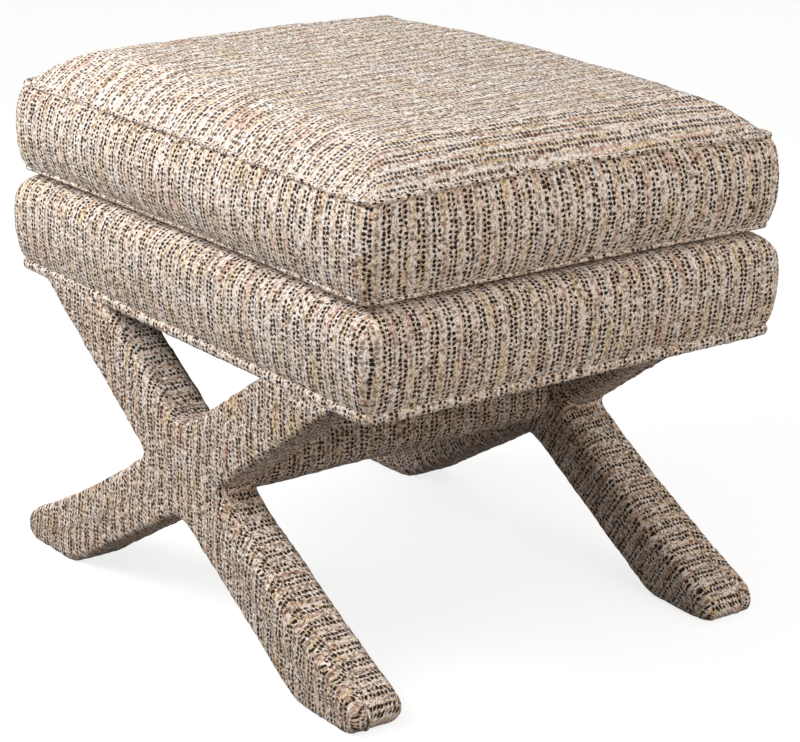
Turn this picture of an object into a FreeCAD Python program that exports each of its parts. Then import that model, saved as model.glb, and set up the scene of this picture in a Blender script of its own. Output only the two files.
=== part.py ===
import FreeCAD, Part
import math
import os

import Sketcher
from FreeCAD import Vector

# X frame stool: a loose box cushion on an upholstered seat base, carried by two padded X frames
# joined by a padded stretcher. Millimetres, +Z up, +X along the seat's long side. The origin lies on
# the floor under the middle of the seat, and the front is -Y.

doc = FreeCAD.newDocument("x_frame_stool")

# Driving dimensions

SIZES = [
    ("seat_length", 613.0, "outside length of the seat base over its welt"),
    ("seat_depth", 485.0, "outside depth of the seat base over its welt"),
    ("frame_height", 297.0, "underside of the seat base above the floor"),
    ("cover_thickness", 2.5, "woven cover fabric"),
    ("fit_gap", 0.3, "clearance between loose neighbours"),
    ("hole_gap", 0.2, "radial clearance of a bolt in its hole"),
    ("welt_height", 10.0, "height of the welt band round the seat base"),
    ("welt_proud", 1.5, "how far the welt band stands out of the cover"),
    ("base_corner_radius", 8.5, "upright corners of the seat base"),
    ("base_edge_round", 28.0, "rounding of the top edges of the seat base"),
    ("base_foam_thickness", 30.0, "foam pad on the deck"),
    ("side_wadding", 5.0, "wadding between the rails and the cover"),
    ("deck_thickness", 10.0, "plywood deck"),
    ("vent_radius", 12.0, "vent holes in the deck"),
    ("vent_pitch", 120.0, "spacing of the vent holes"),
    ("rail_height", 55.0, "rails of the seat base"),
    ("rail_thickness", 30.0, "rails of the seat base"),
    ("block_leg", 60.0, "legs of the triangular corner blocks"),
    ("block_height", 40.0, "height of the corner blocks"),
    ("turn_under", 58.0, "width of the cover turned under the rails"),
    ("dust_cover_thickness", 0.8, "black cloth under the seat"),
    ("dust_cover_margin", 14.0, "from the edge of the seat to the dust cover"),
    ("staple_crown", 11.0, "width of a staple"),
    ("staple_wire", 0.8, "thickness of a staple"),
    ("staple_leg", 7.0, "length of a staple's leg"),
    ("frame_thickness", 50.0, "thickness of a covered X frame"),
    ("frame_wadding", 4.5, "wadding on the boards of an X frame"),
    ("crossing_height", 163.0, "middle of the crossing above the floor"),
    ("crossing_width", 72.0, "width of a covered arm at the crossing"),
    ("crossing_angle", 33.8, "slope of the arms at the crossing, in degrees"),
    ("arm_inner_reach", 145.0, "from the middle to the arm's upper edge under the seat"),
    ("arm_outer_reach", 258.0, "from the middle to the arm's lower edge under the seat"),
    ("heel_reach", 212.0, "from the middle to the heel of a foot"),
    ("heel_round", 40.0, "radius between the sole and the back of a leg"),
    ("toe_reach", 301.0, "from the middle to the tip of a foot"),
    ("toe_height", 28.0, "top of the rounded toe above the floor"),
    ("toe_round", 14.0, "length of the rounded toe along its top"),
    ("toe_under", 9.0, "length of the rounded toe along its sole"),
    ("toe_tip_height", 12.6, "foremost point of the toe above the floor"),
    ("leg_sag", 7.5, "hollow of a leg's upper edge"),
    ("crotch_round", 40.0, "radius of the upper and lower crotches"),
    ("side_crotch_round", 8.0, "radius of the two side crotches"),
    ("inner_edge_round", 6.0, "rounding of an X frame's inner edges"),
    ("seam_setback", 12.0, "from the outer face of an X frame to its cover's seam"),
    ("stretcher_width", 76.0, "covered stretcher"),
    ("stretcher_height", 68.0, "covered stretcher"),
    ("stretcher_round", 28.0, "rounding of the covered stretcher"),
    ("stretcher_rise", 6.0, "middle of the stretcher above the crossing"),
    ("core_width", 52.0, "wooden core of the stretcher"),
    ("core_height", 44.0, "wooden core of the stretcher"),
    ("bolt_radius", 4.0, "frame and stretcher bolts"),
    ("bolt_head_radius", 7.2, "hexagonal head, to its points"),
    ("bolt_head_height", 5.3, "hexagonal head"),
    ("washer_radius", 9.0, "washers under the bolt heads"),
    ("washer_thickness", 1.6, "washers under the bolt heads"),
    ("head_recess", 8.0, "depth of the recess for a washer and a head"),
    ("nut_radius", 7.0, "barrel nuts"),
    ("nut_length", 24.0, "barrel nuts"),
    ("arm_bolt_depth", 26.0, "how far a frame bolt reaches into an arm"),
    ("arm_nut_depth", 18.0, "barrel nut below the top of an arm"),
    ("arm_bolt_share", 0.2124, "of an arm's width under the seat, to its first bolt and on to its second"),
    ("stretcher_bolt_pitch", 26.0, "between the two bolts of a stretcher end"),
    ("stretcher_bolt_depth", 55.0, "how far a stretcher bolt reaches into the core"),
    ("stretcher_nut_depth", 42.0, "barrel nut inside the end of the core"),
    ("screw_radius", 2.0, "wood screws"),
    ("screw_head_radius", 4.0, "wood screws"),
    ("screw_head_height", 3.0, "wood screws"),
    ("deck_screw_length", 34.0, "screws through the deck"),
    ("block_screw_length", 56.0, "screws through the corner blocks"),
    ("lap_screw_length", 30.0, "screws through the half lap"),
    ("lap_screw_reach", 34.0, "lap screws either side of the middle"),
    ("glide_radius", 11.0, "foot glides"),
    ("glide_height", 1.5, "foot glides"),
    ("glide_nail_radius", 1.2, "nail of a glide"),
    ("glide_nail_length", 22.0, "nail of a glide"),
    ("cushion_length", 604.0, "loose cushion over its seam ridges"),
    ("cushion_depth", 482.0, "loose cushion over its seam ridges"),
    ("cushion_corner_radius", 16.0, "corners of the cushion in plan"),
    ("ridge_width", 3.0, "seam ridge of the cushion, outwards"),
    ("ridge_height", 5.0, "seam ridge of the cushion, upwards"),
    ("boxing_height", 86.0, "between the two seams of the cushion"),
    ("boxing_bulge", 9.0, "swell of the boxing between its seams"),
    ("seam_draw_in", 6.0, "how far the seams are drawn in between the corners"),
    ("cushion_crown", 35.0, "rise of the top panel above its seam"),
    ("crown_run", 60.0, "width of the crown's slope"),
    ("underside_swell", 7.7, "drop of the bottom panel below its seam"),
    ("underside_run", 40.0, "width of the underside's slope"),
    ("core_margin", 26.0, "from the cushion's outline to its foam core"),
    ("core_round", 14.0, "rounding of the cushion's foam core"),
    ("core_rise", 9.0, "foam core above the upper seam"),
    ("zip_length", 440.0, "zip in the rear boxing"),
    ("zip_tape_height", 26.0, "both tapes together"),
    ("zip_tape_thickness", 1.2, "zip tape"),
    ("zip_tape_sink", 8.0, "zip tape below the swell of the boxing"),
    ("zip_tape_overrun", 20.0, "tape past each end of the chain"),
    ("zip_chain_height", 5.2, "width of the closed chain"),
    ("zip_chain_thickness", 1.6, "thickness of the closed chain"),
    ("slider_length", 12.0, "zip slider"),
    ("slider_height", 10.4, "zip slider, across the chain"),
    ("slider_thickness", 4.6, "zip slider, out of the cushion"),
    ("ear_thickness", 1.2, "ears that hold the pull tab"),
    ("ear_size", 3.0, "ears that hold the pull tab"),
    ("pull_length", 24.0, "zip pull tab"),
    ("pull_width", 7.0, "zip pull tab"),
    ("pull_thickness", 1.2, "zip pull tab"),
    ("pull_pin_radius", 0.7, "cross pin of the pull tab"),
    ("pull_pin_gap", 0.08, "running clearance of the cross pin"),
]

sheet = doc.addObject("Spreadsheet::Sheet", "Sizes")
for row, (alias, value, meaning) in enumerate(SIZES, start=1):
    sheet.set("A%d" % row, alias)
    sheet.set("B%d" % row, str(value))
    sheet.set("C%d" % row, meaning)
    sheet.setAlias("B%d" % row, alias)
doc.recompute()


def size(alias):
    """One driving dimension, read from the sheet."""
    return float(sheet.get(alias))


# Heights and half sizes that follow from the driving dimensions

cover = size("cover_thickness")
gap = size("fit_gap")
half_length = size("seat_length") / 2
half_depth = size("seat_depth") / 2
seat_underside = size("frame_height")
rail_bottom = seat_underside + cover
rail_top = rail_bottom + size("rail_height")
deck_top = rail_top + size("deck_thickness")
base_top = deck_top + size("base_foam_thickness") + cover
base_length = size("seat_length") - 2 * size("welt_proud")
base_depth = size("seat_depth") - 2 * size("welt_proud")
rail_inset = size("welt_proud") + cover + size("side_wadding")
rail_half_length = half_length - rail_inset
rail_half_depth = half_depth - rail_inset
lower_seam = base_top + gap + size("underside_swell")
upper_seam = lower_seam + size("boxing_height")
boxing_middle = (lower_seam + upper_seam) / 2
crossing = size("crossing_height")
stretcher_middle = crossing + size("stretcher_rise")
board_inset = cover + size("frame_wadding")
frame_outer = -half_depth
frame_inner = frame_outer + size("frame_thickness")
board_outer = frame_outer + board_inset
board_inner = frame_inner - board_inset
board_middle = (board_outer + board_inner) / 2
sole = size("glide_height")
arm_width = size("arm_outer_reach") - size("arm_inner_reach")
arm_bolt_reaches = [size("arm_inner_reach") + count * size("arm_bolt_share") * arm_width
                    for count in (1, 2)]

# Helpers

# How far cutting shapes run on past what they cut
BEYOND = 30.0

# Where the screws and the staples sit, as shares of the run they are set along
BLOCK_SCREW_SHARES = (0.25, 0.75)
DECK_SCREW_SHARES = (-0.84, -0.3, 0.3, 0.84)
LONG_STAPLE_SHARES = (-1.0, -0.5, 0.0, 0.5, 1.0)
SHORT_STAPLE_SHARES = (-1.0, -0.67, -0.33, 0.0, 0.33, 0.67, 1.0)

# Heights and depths as expressions of the sheet
RAIL_LONG = "(Sizes.seat_length - 2 * (Sizes.welt_proud + Sizes.cover_thickness + Sizes.side_wadding))"
RAIL_DEEP = "(Sizes.seat_depth - 2 * (Sizes.welt_proud + Sizes.cover_thickness + Sizes.side_wadding))"
RAIL_BOTTOM = "Sizes.frame_height + Sizes.cover_thickness"
RAIL_Y = "(%s - Sizes.rail_thickness) / 2" % RAIL_DEEP
RAIL_X = "(%s - Sizes.rail_thickness) / 2" % RAIL_LONG
BOARD_MIDDLE_Y = "(Sizes.seat_depth - Sizes.frame_thickness) / 2"
ARM_WIDTH = "(Sizes.arm_outer_reach - Sizes.arm_inner_reach)"
DECK_TOP = RAIL_BOTTOM + " + Sizes.rail_height + Sizes.deck_thickness"
BASE_TOP = DECK_TOP + " + Sizes.base_foam_thickness + Sizes.cover_thickness"
LOWER_SEAM = BASE_TOP + " + Sizes.fit_gap + Sizes.underside_swell"
BOXING_MIDDLE = LOWER_SEAM + " + Sizes.boxing_height / 2"
SWELL_Y = "Sizes.cushion_depth / 2 - Sizes.ridge_width - Sizes.fit_gap + Sizes.boxing_bulge"
TAPE_FACE_Y = SWELL_Y + " - Sizes.zip_tape_sink"

FRONT_TO_BACK = Vector(0, 1, 0)
LEFT_TO_RIGHT = Vector(1, 0, 0)
ORIGIN = Vector(0, 0, 0)

node_names = []


def keep(thing, label):
    """Names a finished sub-part, which is then written to its own file."""
    thing.Label = label
    node_names.append(label)
    return thing


def feature(label, shape):
    """A sub-part whose shape is worked out here from the sheet's sizes."""
    thing = doc.addObject("Part::Feature", label)
    thing.Shape = shape
    return keep(thing, label)


def mirrored(shape, normal):
    return shape.mirror(ORIGIN, normal)


def block(low, high):
    """An upright box between two opposite corners."""
    extent = high - low
    return Part.makeBox(extent.x, extent.y, extent.z, low)


def cylinder(radius, start, end):
    run = end - start
    return Part.makeCylinder(radius, run.Length, start, run)


def point_on_circle(centre, radius, degrees):
    angle = math.radians(degrees)
    return centre + Vector(radius * math.cos(angle), radius * math.sin(angle), 0)


def rounded_rectangle(length, depth, radius, height, draw_in=0.0):
    """A level outline round the Z axis, with its sides drawn in by an arc between its corners."""
    corners = []
    outwards = []
    for sign_x, sign_y, start in ((1, 1, 0), (-1, 1, 90), (-1, -1, 180), (1, -1, 270)):
        centre = Vector(sign_x * (length / 2 - radius), sign_y * (depth / 2 - radius), height)
        corners.append([point_on_circle(centre, radius, start + turn) for turn in (0, 45, 90)])
        outwards.append((corners[-1][2] - centre).normalize())
    edges = []
    for number, corner in enumerate(corners):
        side_start = corner[2]
        side_end = corners[(number + 1) % 4][0]
        edges.append(Part.Arc(*corner).toShape())
        if draw_in == 0:
            edges.append(Part.makeLine(side_start, side_end))
        else:
            middle = (side_start + side_end) / 2 - outwards[number] * draw_in
            edges.append(Part.Arc(side_start, middle, side_end).toShape())
    return Part.Wire(edges)


def prism(outline, height):
    return Part.Face(outline).extrude(Vector(0, 0, height))


def ring(outer, inner, height):
    return prism(outer, height).cut(prism(inner, height))


def smooth_loft(outlines):
    return Part.makeLoft(outlines, True, False)


def origin_plane(body, role):
    """One of a body's own origin planes."""
    return [plane for plane in body.Origin.OriginFeatures if plane.Role == role][0]


def new_sketch(body, label, height="0"):
    """A level sketch in a body, lifted above the body's base by an expression of the sheet."""
    sketch = body.newObject("Sketcher::SketchObject", label)
    sketch.AttachmentSupport = [(origin_plane(body, "XY_Plane"), "")]
    sketch.MapMode = "FlatFace"
    sketch.setExpression("AttachmentOffset.Base.z", height)
    return sketch


def bind(sketch, constraint, name, expression):
    """Adds a named constraint whose value is an expression of the sheet."""
    sketch.renameConstraint(sketch.addConstraint(constraint), name)
    sketch.setExpression("Constraints." + name, expression)


def plank(label, length, width, height, x="0", y="0", z="0"):
    """A sawn board: a sketched rectangle padded upwards, sized and placed by expressions."""
    body = doc.addObject("PartDesign::Body", label)
    outline = new_sketch(body, label + "_outline")
    corners = [Vector(-10, -5, 0), Vector(10, -5, 0), Vector(10, 5, 0), Vector(-10, 5, 0)]
    for number, corner in enumerate(corners):
        outline.addGeometry(Part.LineSegment(corner, corners[(number + 1) % 4]), False)
    for number in range(4):
        outline.addConstraint(Sketcher.Constraint("Coincident", number, 2, (number + 1) % 4, 1))
    outline.addConstraint(Sketcher.Constraint("Horizontal", 0))
    outline.addConstraint(Sketcher.Constraint("Horizontal", 2))
    outline.addConstraint(Sketcher.Constraint("Vertical", 1))
    outline.addConstraint(Sketcher.Constraint("Vertical", 3))
    outline.addConstraint(Sketcher.Constraint("Symmetric", 0, 1, 1, 2, -1, 1))
    bind(outline, Sketcher.Constraint("DistanceX", 0, 1, 0, 2, 20.0), "long", length)
    bind(outline, Sketcher.Constraint("DistanceY", 1, 1, 1, 2, 10.0), "wide", width)
    pad = body.newObject("PartDesign::Pad", label + "_pad")
    pad.Profile = outline
    pad.setExpression("Length", height)
    for axis, expression in zip("xyz", (x, y, z)):
        body.setExpression("Placement.Base." + axis, expression)
    doc.recompute()
    return body


def add_circle(sketch, name, radius, x, y, side_x=1, side_y=1):
    """A circle placed from the sketch's origin: x and y are positive expressions, the sides signs."""
    start = Vector(10 * side_x, 10 * side_y, 0)
    number = sketch.addGeometry(Part.Circle(start, Vector(0, 0, 1), 2.0), False)
    spans = (("DistanceX", side_x, x, "_x"), ("DistanceY", side_y, y, "_y"))
    for kind, side, expression, ending in spans:
        if side > 0:
            constraint = Sketcher.Constraint(kind, -1, 1, number, 3, 10.0)
        else:
            constraint = Sketcher.Constraint(kind, number, 3, -1, 1, 10.0)
        bind(sketch, constraint, name + ending, expression)
    bind(sketch, Sketcher.Constraint("Radius", number, 2.0), name + "_radius", radius)


def bored(label, blank, cutters):
    """A sub-part made from a blank by taking its holes away."""
    tool = doc.addObject("Part::Feature", label + "_holes")
    tool.Shape = Part.makeCompound(cutters)
    cut = doc.addObject("Part::Cut", label)
    cut.Base = blank
    cut.Tool = tool
    return keep(cut, label)


# Fasteners, each set a group of separate solids

def hexagon(centre, radius, height):
    """A hexagonal head that stands on a level plane."""
    points = [point_on_circle(centre, radius, 60 * turn) for turn in range(7)]
    return prism(Part.makePolygon(points), height)


def bolt(seat, direction, length):
    """A hexagonal bolt with its washer under the head; seat is where the washer rests."""
    washer_thickness = size("washer_thickness")
    shank = Part.makeCylinder(size("bolt_radius"), length + washer_thickness,
                              Vector(0, 0, -length))
    head = hexagon(Vector(0, 0, washer_thickness), size("bolt_head_radius"), size("bolt_head_height"))
    whole = shank.fuse(head)
    washer = Part.makeCylinder(size("washer_radius"), washer_thickness)
    washer = washer.cut(Part.makeCylinder(size("bolt_radius") + size("hole_gap"), washer_thickness))
    turn = FreeCAD.Rotation(Vector(0, 0, -1), direction)
    place = FreeCAD.Placement(seat, turn)
    return whole.transformGeometry(place.toMatrix()), washer.transformGeometry(place.toMatrix())


def barrel_nut(centre, axis, bolt_axis):
    half = axis * (size("nut_length") / 2)
    body = cylinder(size("nut_radius"), centre - half, centre + half)
    reach = bolt_axis * (2 * size("nut_radius"))
    return body.cut(cylinder(bolt_radius_free, centre - reach, centre + reach))


def screw(top, direction, length):
    """A wood screw with a flush head."""
    shank = cylinder(size("screw_radius"), top, top + direction * length)
    head = cylinder(size("screw_head_radius"), top, top + direction * size("screw_head_height"))
    return shank.fuse(head)


down = Vector(0, 0, -1)
up = Vector(0, 0, 1)

frame_bolts = []
stretcher_bolts = []
washers = []
barrel_nuts = []
bolt_holes = []
bolt_radius_free = size("bolt_radius") + size("hole_gap")
nut_radius_free = size("nut_radius") + size("hole_gap")

for side_y in (-1, 1):
    inward = Vector(0, -side_y, 0)
    arm_y = side_y * abs(board_middle)
    for side_x in (-1, 1):
        for reach in arm_bolt_reaches:
            seat = Vector(side_x * reach, arm_y, rail_top - size("head_recess"))
            tip_height = seat_underside - size("arm_bolt_depth")
            whole, washer = bolt(seat, down, seat.z - tip_height)
            frame_bolts.append(whole)
            washers.append(washer)
            nut_centre = Vector(seat.x, arm_y, seat_underside - size("arm_nut_depth"))
            barrel_nuts.append(barrel_nut(nut_centre, inward, up))
            bolt_holes.append(cylinder(bolt_radius_free, Vector(seat.x, arm_y, tip_height - gap),
                                       Vector(seat.x, arm_y, rail_bottom)))
            mouth = Vector(seat.x, side_y * abs(board_inner), nut_centre.z)
            bottom = nut_centre - inward * (size("nut_length") / 2)
            bolt_holes.append(cylinder(nut_radius_free, bottom, mouth))
        seat = Vector(side_x * size("stretcher_bolt_pitch") / 2,
                      side_y * (abs(board_outer) - size("head_recess")), stretcher_middle)
        core_end = Vector(seat.x, side_y * abs(board_inner), stretcher_middle)
        tip = core_end + inward * size("stretcher_bolt_depth")
        whole, washer = bolt(seat, inward, (tip - seat).Length)
        stretcher_bolts.append(whole)
        washers.append(washer)
        nut_centre = core_end + inward * size("stretcher_nut_depth")
        barrel_nuts.append(barrel_nut(nut_centre, up, inward))
        bolt_holes.append(cylinder(bolt_radius_free, seat, tip + inward * gap))
        recess_mouth = seat - inward * size("head_recess")
        bolt_holes.append(cylinder(size("washer_radius") + gap, seat, recess_mouth))
        top = nut_centre + up * (size("nut_length") / 2)
        foot = Vector(nut_centre.x, nut_centre.y, stretcher_middle - size("core_height") / 2)
        bolt_holes.append(cylinder(nut_radius_free, foot, top))

inner_corner = Vector(rail_half_length - size("rail_thickness"),
                      rail_half_depth - size("rail_thickness"), 0)
block_screws = []
for side_x in (-1, 1):
    for side_y in (-1, 1):
        for share in BLOCK_SCREW_SHARES:
            height = rail_bottom + share * size("block_height")
            corner = Vector(side_x * inner_corner.x, side_y * inner_corner.y, height)
            direction = Vector(side_x, side_y, 0).normalize()
            top = corner - direction * (size("block_leg") / math.sqrt(2))
            block_screws.append(screw(top, direction, size("block_screw_length")))

deck_screw_y = rail_half_depth - size("rail_thickness") / 2
deck_screw_x = rail_half_length - size("rail_thickness") / 2
deck_screw_places = [(side * deck_screw_x, 0) for side in (-1, 1)]
for side_y in (-1, 1):
    for share in DECK_SCREW_SHARES:
        deck_screw_places.append((share * rail_half_length, side_y * deck_screw_y))
deck_screws = [screw(Vector(x, y, deck_top), down, size("deck_screw_length"))
               for x, y in deck_screw_places]

lap_screws = []
for side_y in (-1, 1):
    for side_x in (-1, 1):
        top = Vector(side_x * size("lap_screw_reach"), side_y * abs(board_inner), crossing)
        lap_screws.append(screw(top, Vector(0, side_y, 0), size("lap_screw_length")))

glides = []
for side_x in (-1, 1):
    for side_y in (-1, 1):
        middle = (size("heel_reach") + size("toe_reach") - size("toe_under")) / 2
        foot = Vector(side_x * middle, side_y * abs(board_middle), 0)
        disc = cylinder(size("glide_radius"), foot, foot + up * size("glide_height"))
        tip = foot + up * (size("glide_height") + size("glide_nail_length"))
        glides.append(disc.fuse(cylinder(size("glide_nail_radius"), foot, tip)))

dust_underside = seat_underside - size("dust_cover_thickness")


def staple(x, y, along):
    """A staple with its crown under the dust cover and its two legs up into the rail."""
    wire = size("staple_wire")
    half_crown = along * (size("staple_crown") / 2)
    across = Vector(along.y, along.x, 0) * (wire / 2)
    centre = Vector(x, y, dust_underside)
    whole = block(centre - half_crown - across - up * wire, centre + half_crown + across)
    for side in (-1, 1):
        leg = centre + half_crown * side - along * side * (wire / 2)
        half = along * (wire / 2) + across
        whole = whole.fuse(block(leg - half, leg + half + up * size("staple_leg")))
    return whole.removeSplitter()


staple_inset = size("dust_cover_margin") + size("staple_crown") / 2
long_staple_run = size("arm_inner_reach") - 2 * size("staple_crown")
short_staple_run = abs(frame_inner) - size("staple_crown")
staples = []
for side in (-1, 1):
    for share in LONG_STAPLE_SHARES:
        y = side * (half_depth - staple_inset)
        staples.append(staple(share * long_staple_run, y, Vector(1, 0, 0)))
    for share in SHORT_STAPLE_SHARES:
        x = side * (half_length - staple_inset)
        staples.append(staple(x, share * short_staple_run, Vector(0, 1, 0)))

feature("frame_bolts", Part.makeCompound(frame_bolts))
feature("stretcher_bolts", Part.makeCompound(stretcher_bolts))
feature("bolt_washers", Part.makeCompound(washers))
feature("barrel_nuts", Part.makeCompound(barrel_nuts))
feature("corner_screws", Part.makeCompound(block_screws))
feature("deck_screws", Part.makeCompound(deck_screws))
feature("lap_screws", Part.makeCompound(lap_screws))
feature("foot_glides", Part.makeCompound(glides))
feature("dust_cover_staples", Part.makeCompound(staples))

# Rails and deck of the seat base

for label, side_y in (("front_rail", -1), ("back_rail", 1)):
    sign = "-" if side_y < 0 else ""
    rail = plank(label + "_blank", RAIL_LONG, "Sizes.rail_thickness", "Sizes.rail_height",
                 y="%s(%s)" % (sign, RAIL_Y), z=RAIL_BOTTOM)
    marks = new_sketch(rail, label + "_bolt_marks", "Sizes.rail_height")
    offset = "%s - %s" % (RAIL_Y, BOARD_MIDDLE_Y)
    for side_x, side_name in ((-1, "left"), (1, "right")):
        for count in (1, 2):
            reach = "Sizes.arm_inner_reach + %d * Sizes.arm_bolt_share * %s" % (count, ARM_WIDTH)
            mark = "bolt_%s_%d" % (side_name, count)
            add_circle(marks, mark, "Sizes.bolt_radius", reach, offset, side_x, -side_y)
    doc.recompute()
    hole = rail.newObject("PartDesign::Hole", label + "_bolt_holes")
    hole.Profile = marks
    hole.DepthType = "ThroughAll"
    hole.HoleCutType = "Counterbore"
    hole.HoleCutCustomValues = True
    hole.setExpression("Diameter", "2 * (Sizes.bolt_radius + Sizes.hole_gap)")
    hole.setExpression("HoleCutDiameter", "2 * (Sizes.washer_radius + Sizes.fit_gap)")
    hole.setExpression("HoleCutDepth", "Sizes.head_recess")
    doc.recompute()
    bored(label, rail, deck_screws + block_screws + staples)

for label, sign in (("left_rail", "-"), ("right_rail", "")):
    rail = plank(label + "_blank", "Sizes.rail_thickness", RAIL_DEEP + " - 2 * Sizes.rail_thickness",
                 "Sizes.rail_height", x="%s(%s)" % (sign, RAIL_X), z=RAIL_BOTTOM)
    bored(label, rail, deck_screws + block_screws + staples)

deck = plank("seat_deck_blank", RAIL_LONG, RAIL_DEEP, "Sizes.deck_thickness",
             z=RAIL_BOTTOM + " + Sizes.rail_height")
vent_mark = new_sketch(deck, "vent_mark", "Sizes.deck_thickness")
add_circle(vent_mark, "vent", "Sizes.vent_radius", "Sizes.vent_pitch", "Sizes.vent_pitch / 2", -1, -1)
vent = deck.newObject("PartDesign::Pocket", "vent")
vent.Profile = vent_mark
vent.Type = "ThroughAll"
doc.recompute()
vents = deck.newObject("PartDesign::LinearPattern", "vents")
vents.Originals = [vent]
vents.Direction = (vent_mark, ["H_Axis"])
vents.Occurrences = 3
vents.setExpression("Length", "2 * Sizes.vent_pitch")
deck.Tip = vents
doc.recompute()
bored("seat_deck", deck, deck_screws)

corner_blocks = []
for side_x in (-1, 1):
    for side_y in (-1, 1):
        corner = Vector(side_x * inner_corner.x, side_y * inner_corner.y, rail_bottom)
        leg_x = corner - Vector(side_x * size("block_leg"), 0, 0)
        leg_y = corner - Vector(0, side_y * size("block_leg"), 0)
        whole = prism(Part.makePolygon([corner, leg_x, leg_y, corner]), size("block_height"))
        corner_blocks.append(whole.cut(Part.makeCompound(block_screws)))
feature("corner_blocks", Part.makeCompound(corner_blocks))

# Upholstery of the seat base

def base_outline(inset, height):
    return rounded_rectangle(base_length - 2 * inset, base_depth - 2 * inset,
                             size("base_corner_radius") - inset, height)


def rounded_top_block(inset, bottom):
    """The seat base's outer shape, inset by a skin, with its upper edges rolled over."""
    top = base_top - inset
    edge = size("base_edge_round") - inset
    wall = prism(base_outline(inset, bottom), top - edge - bottom)
    outlines = []
    for step in range(5):
        angle = math.radians(22.5 * step)
        run = edge * (1 - math.cos(angle))
        height = top - edge + edge * math.sin(angle)
        outlines.append(rounded_rectangle(base_length - 2 * (inset + run), base_depth - 2 * (inset + run),
                                          size("base_corner_radius") - inset, height))
    return wall.fuse(smooth_loft(outlines)).removeSplitter()


turn_under = size("turn_under")
opening_low = Vector(turn_under - half_length, turn_under - half_depth, seat_underside - 1)
opening_high = Vector(half_length - turn_under, half_depth - turn_under, rail_bottom + 1)
base_cover = rounded_top_block(0, seat_underside).cut(rounded_top_block(cover, rail_bottom))
base_cover = base_cover.cut(block(opening_low, opening_high))
base_cover = base_cover.cut(Part.makeCompound(bolt_holes + staples))
feature("base_cover", base_cover)

feature("base_foam_pad", rounded_top_block(cover, deck_top))

rail_rectangle = block(Vector(-rail_half_length, -rail_half_depth, rail_bottom - 1),
                       Vector(rail_half_length, rail_half_depth, deck_top + 1))
side_wadding = prism(base_outline(cover, rail_bottom), deck_top - rail_bottom)
feature("base_side_wadding", side_wadding.cut(rail_rectangle))

welt_outline = rounded_rectangle(size("seat_length"), size("seat_depth"),
                                 size("base_corner_radius") + size("welt_proud"), seat_underside)
feature("base_welt", ring(welt_outline, base_outline(0, seat_underside), size("welt_height")))

dust_margin = size("dust_cover_margin")
dust_cover = block(Vector(dust_margin - half_length, dust_margin - half_depth, dust_underside),
                   Vector(half_length - dust_margin, half_depth - dust_margin, seat_underside))
for side_x in (-1, 1):
    for side_y in (-1, 1):
        ends_x = sorted([side_x * (size("arm_inner_reach") - 2 * cover),
                         side_x * (size("arm_outer_reach") + gap)])
        ends_y = sorted([side_y * (abs(frame_inner) - gap), side_y * half_depth])
        dust_cover = dust_cover.cut(block(Vector(ends_x[0], ends_y[0], dust_underside - 1),
                                          Vector(ends_x[1], ends_y[1], seat_underside + 1)))
feature("dust_cover", dust_cover.cut(Part.makeCompound(staples)))

# X frames

def on_face(x, z):
    """A point of an X frame's outline."""
    return Vector(x, 0, z)


def rounded_corner(before, corner, after, radius):
    """The arc that rounds a corner, tangent to both its sides."""
    to_before = (before - corner).normalize()
    to_after = (after - corner).normalize()
    half_angle = to_before.getAngle(to_after) / 2
    bisector = (to_before + to_after).normalize()
    middle = corner + bisector * (radius / math.sin(half_angle) - radius)
    reach = radius / math.tan(half_angle)
    return [corner + to_before * reach, middle, corner + to_after * reach]


def board_outline():
    """One arm and the leg opposite it, from the left foot up to the right under the seat."""
    slope = math.radians(size("crossing_angle"))
    half_width = Vector(-math.sin(slope), 0, math.cos(slope)) * (size("crossing_width") / 2)
    upper_joint = on_face(0, crossing) + half_width
    lower_joint = on_face(0, crossing) - half_width
    onward = on_face(BEYOND / math.tan(slope), BEYOND)
    arm_upper = on_face(size("arm_inner_reach"), seat_underside)
    arm_lower = on_face(size("arm_outer_reach"), seat_underside)
    toe_top = on_face(size("toe_round") - size("toe_reach"), size("toe_height"))
    toe_tip = on_face(-size("toe_reach"), size("toe_tip_height"))
    toe_sole = on_face(size("toe_under") - size("toe_reach"), sole)
    heel = rounded_corner(toe_sole, on_face(-size("heel_reach"), sole), lower_joint, size("heel_round"))
    chord = toe_top - upper_joint
    hollow = Vector(-chord.z, 0, chord.x).normalize() * size("leg_sag")
    leg_middle = (upper_joint + toe_top) / 2 + hollow
    edges = [
        Part.makeLine(arm_upper + onward, arm_upper),
        Part.makeLine(arm_upper, upper_joint),
        Part.Arc(upper_joint, leg_middle, toe_top).toShape(),
        Part.Arc(toe_top, toe_tip, toe_sole).toShape(),
        Part.makeLine(toe_sole, heel[0]),
        Part.Arc(*heel).toShape(),
        Part.makeLine(heel[2], lower_joint),
        Part.makeLine(lower_joint, arm_lower),
        Part.makeLine(arm_lower, arm_lower + onward),
        Part.makeLine(arm_lower + onward, arm_upper + onward),
    ]
    return Part.Wire(edges)


def inset_outline(inset):
    return board_outline().makeOffset2D(-inset) if inset else board_outline()


def below(shape, top):
    """What lies of a shape under a level plane."""
    low = Vector(-half_length - BEYOND, -half_depth - BEYOND, -BEYOND)
    return shape.common(block(low, Vector(half_length + BEYOND, half_depth + BEYOND, top)))


def board_prism(inset, from_y, to_y):
    """The board that rises to the right, as thick as the two depths say."""
    face = Part.Face(inset_outline(inset))
    face.translate(Vector(0, from_y, 0))
    return face.extrude(Vector(0, to_y - from_y, 0))


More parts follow.
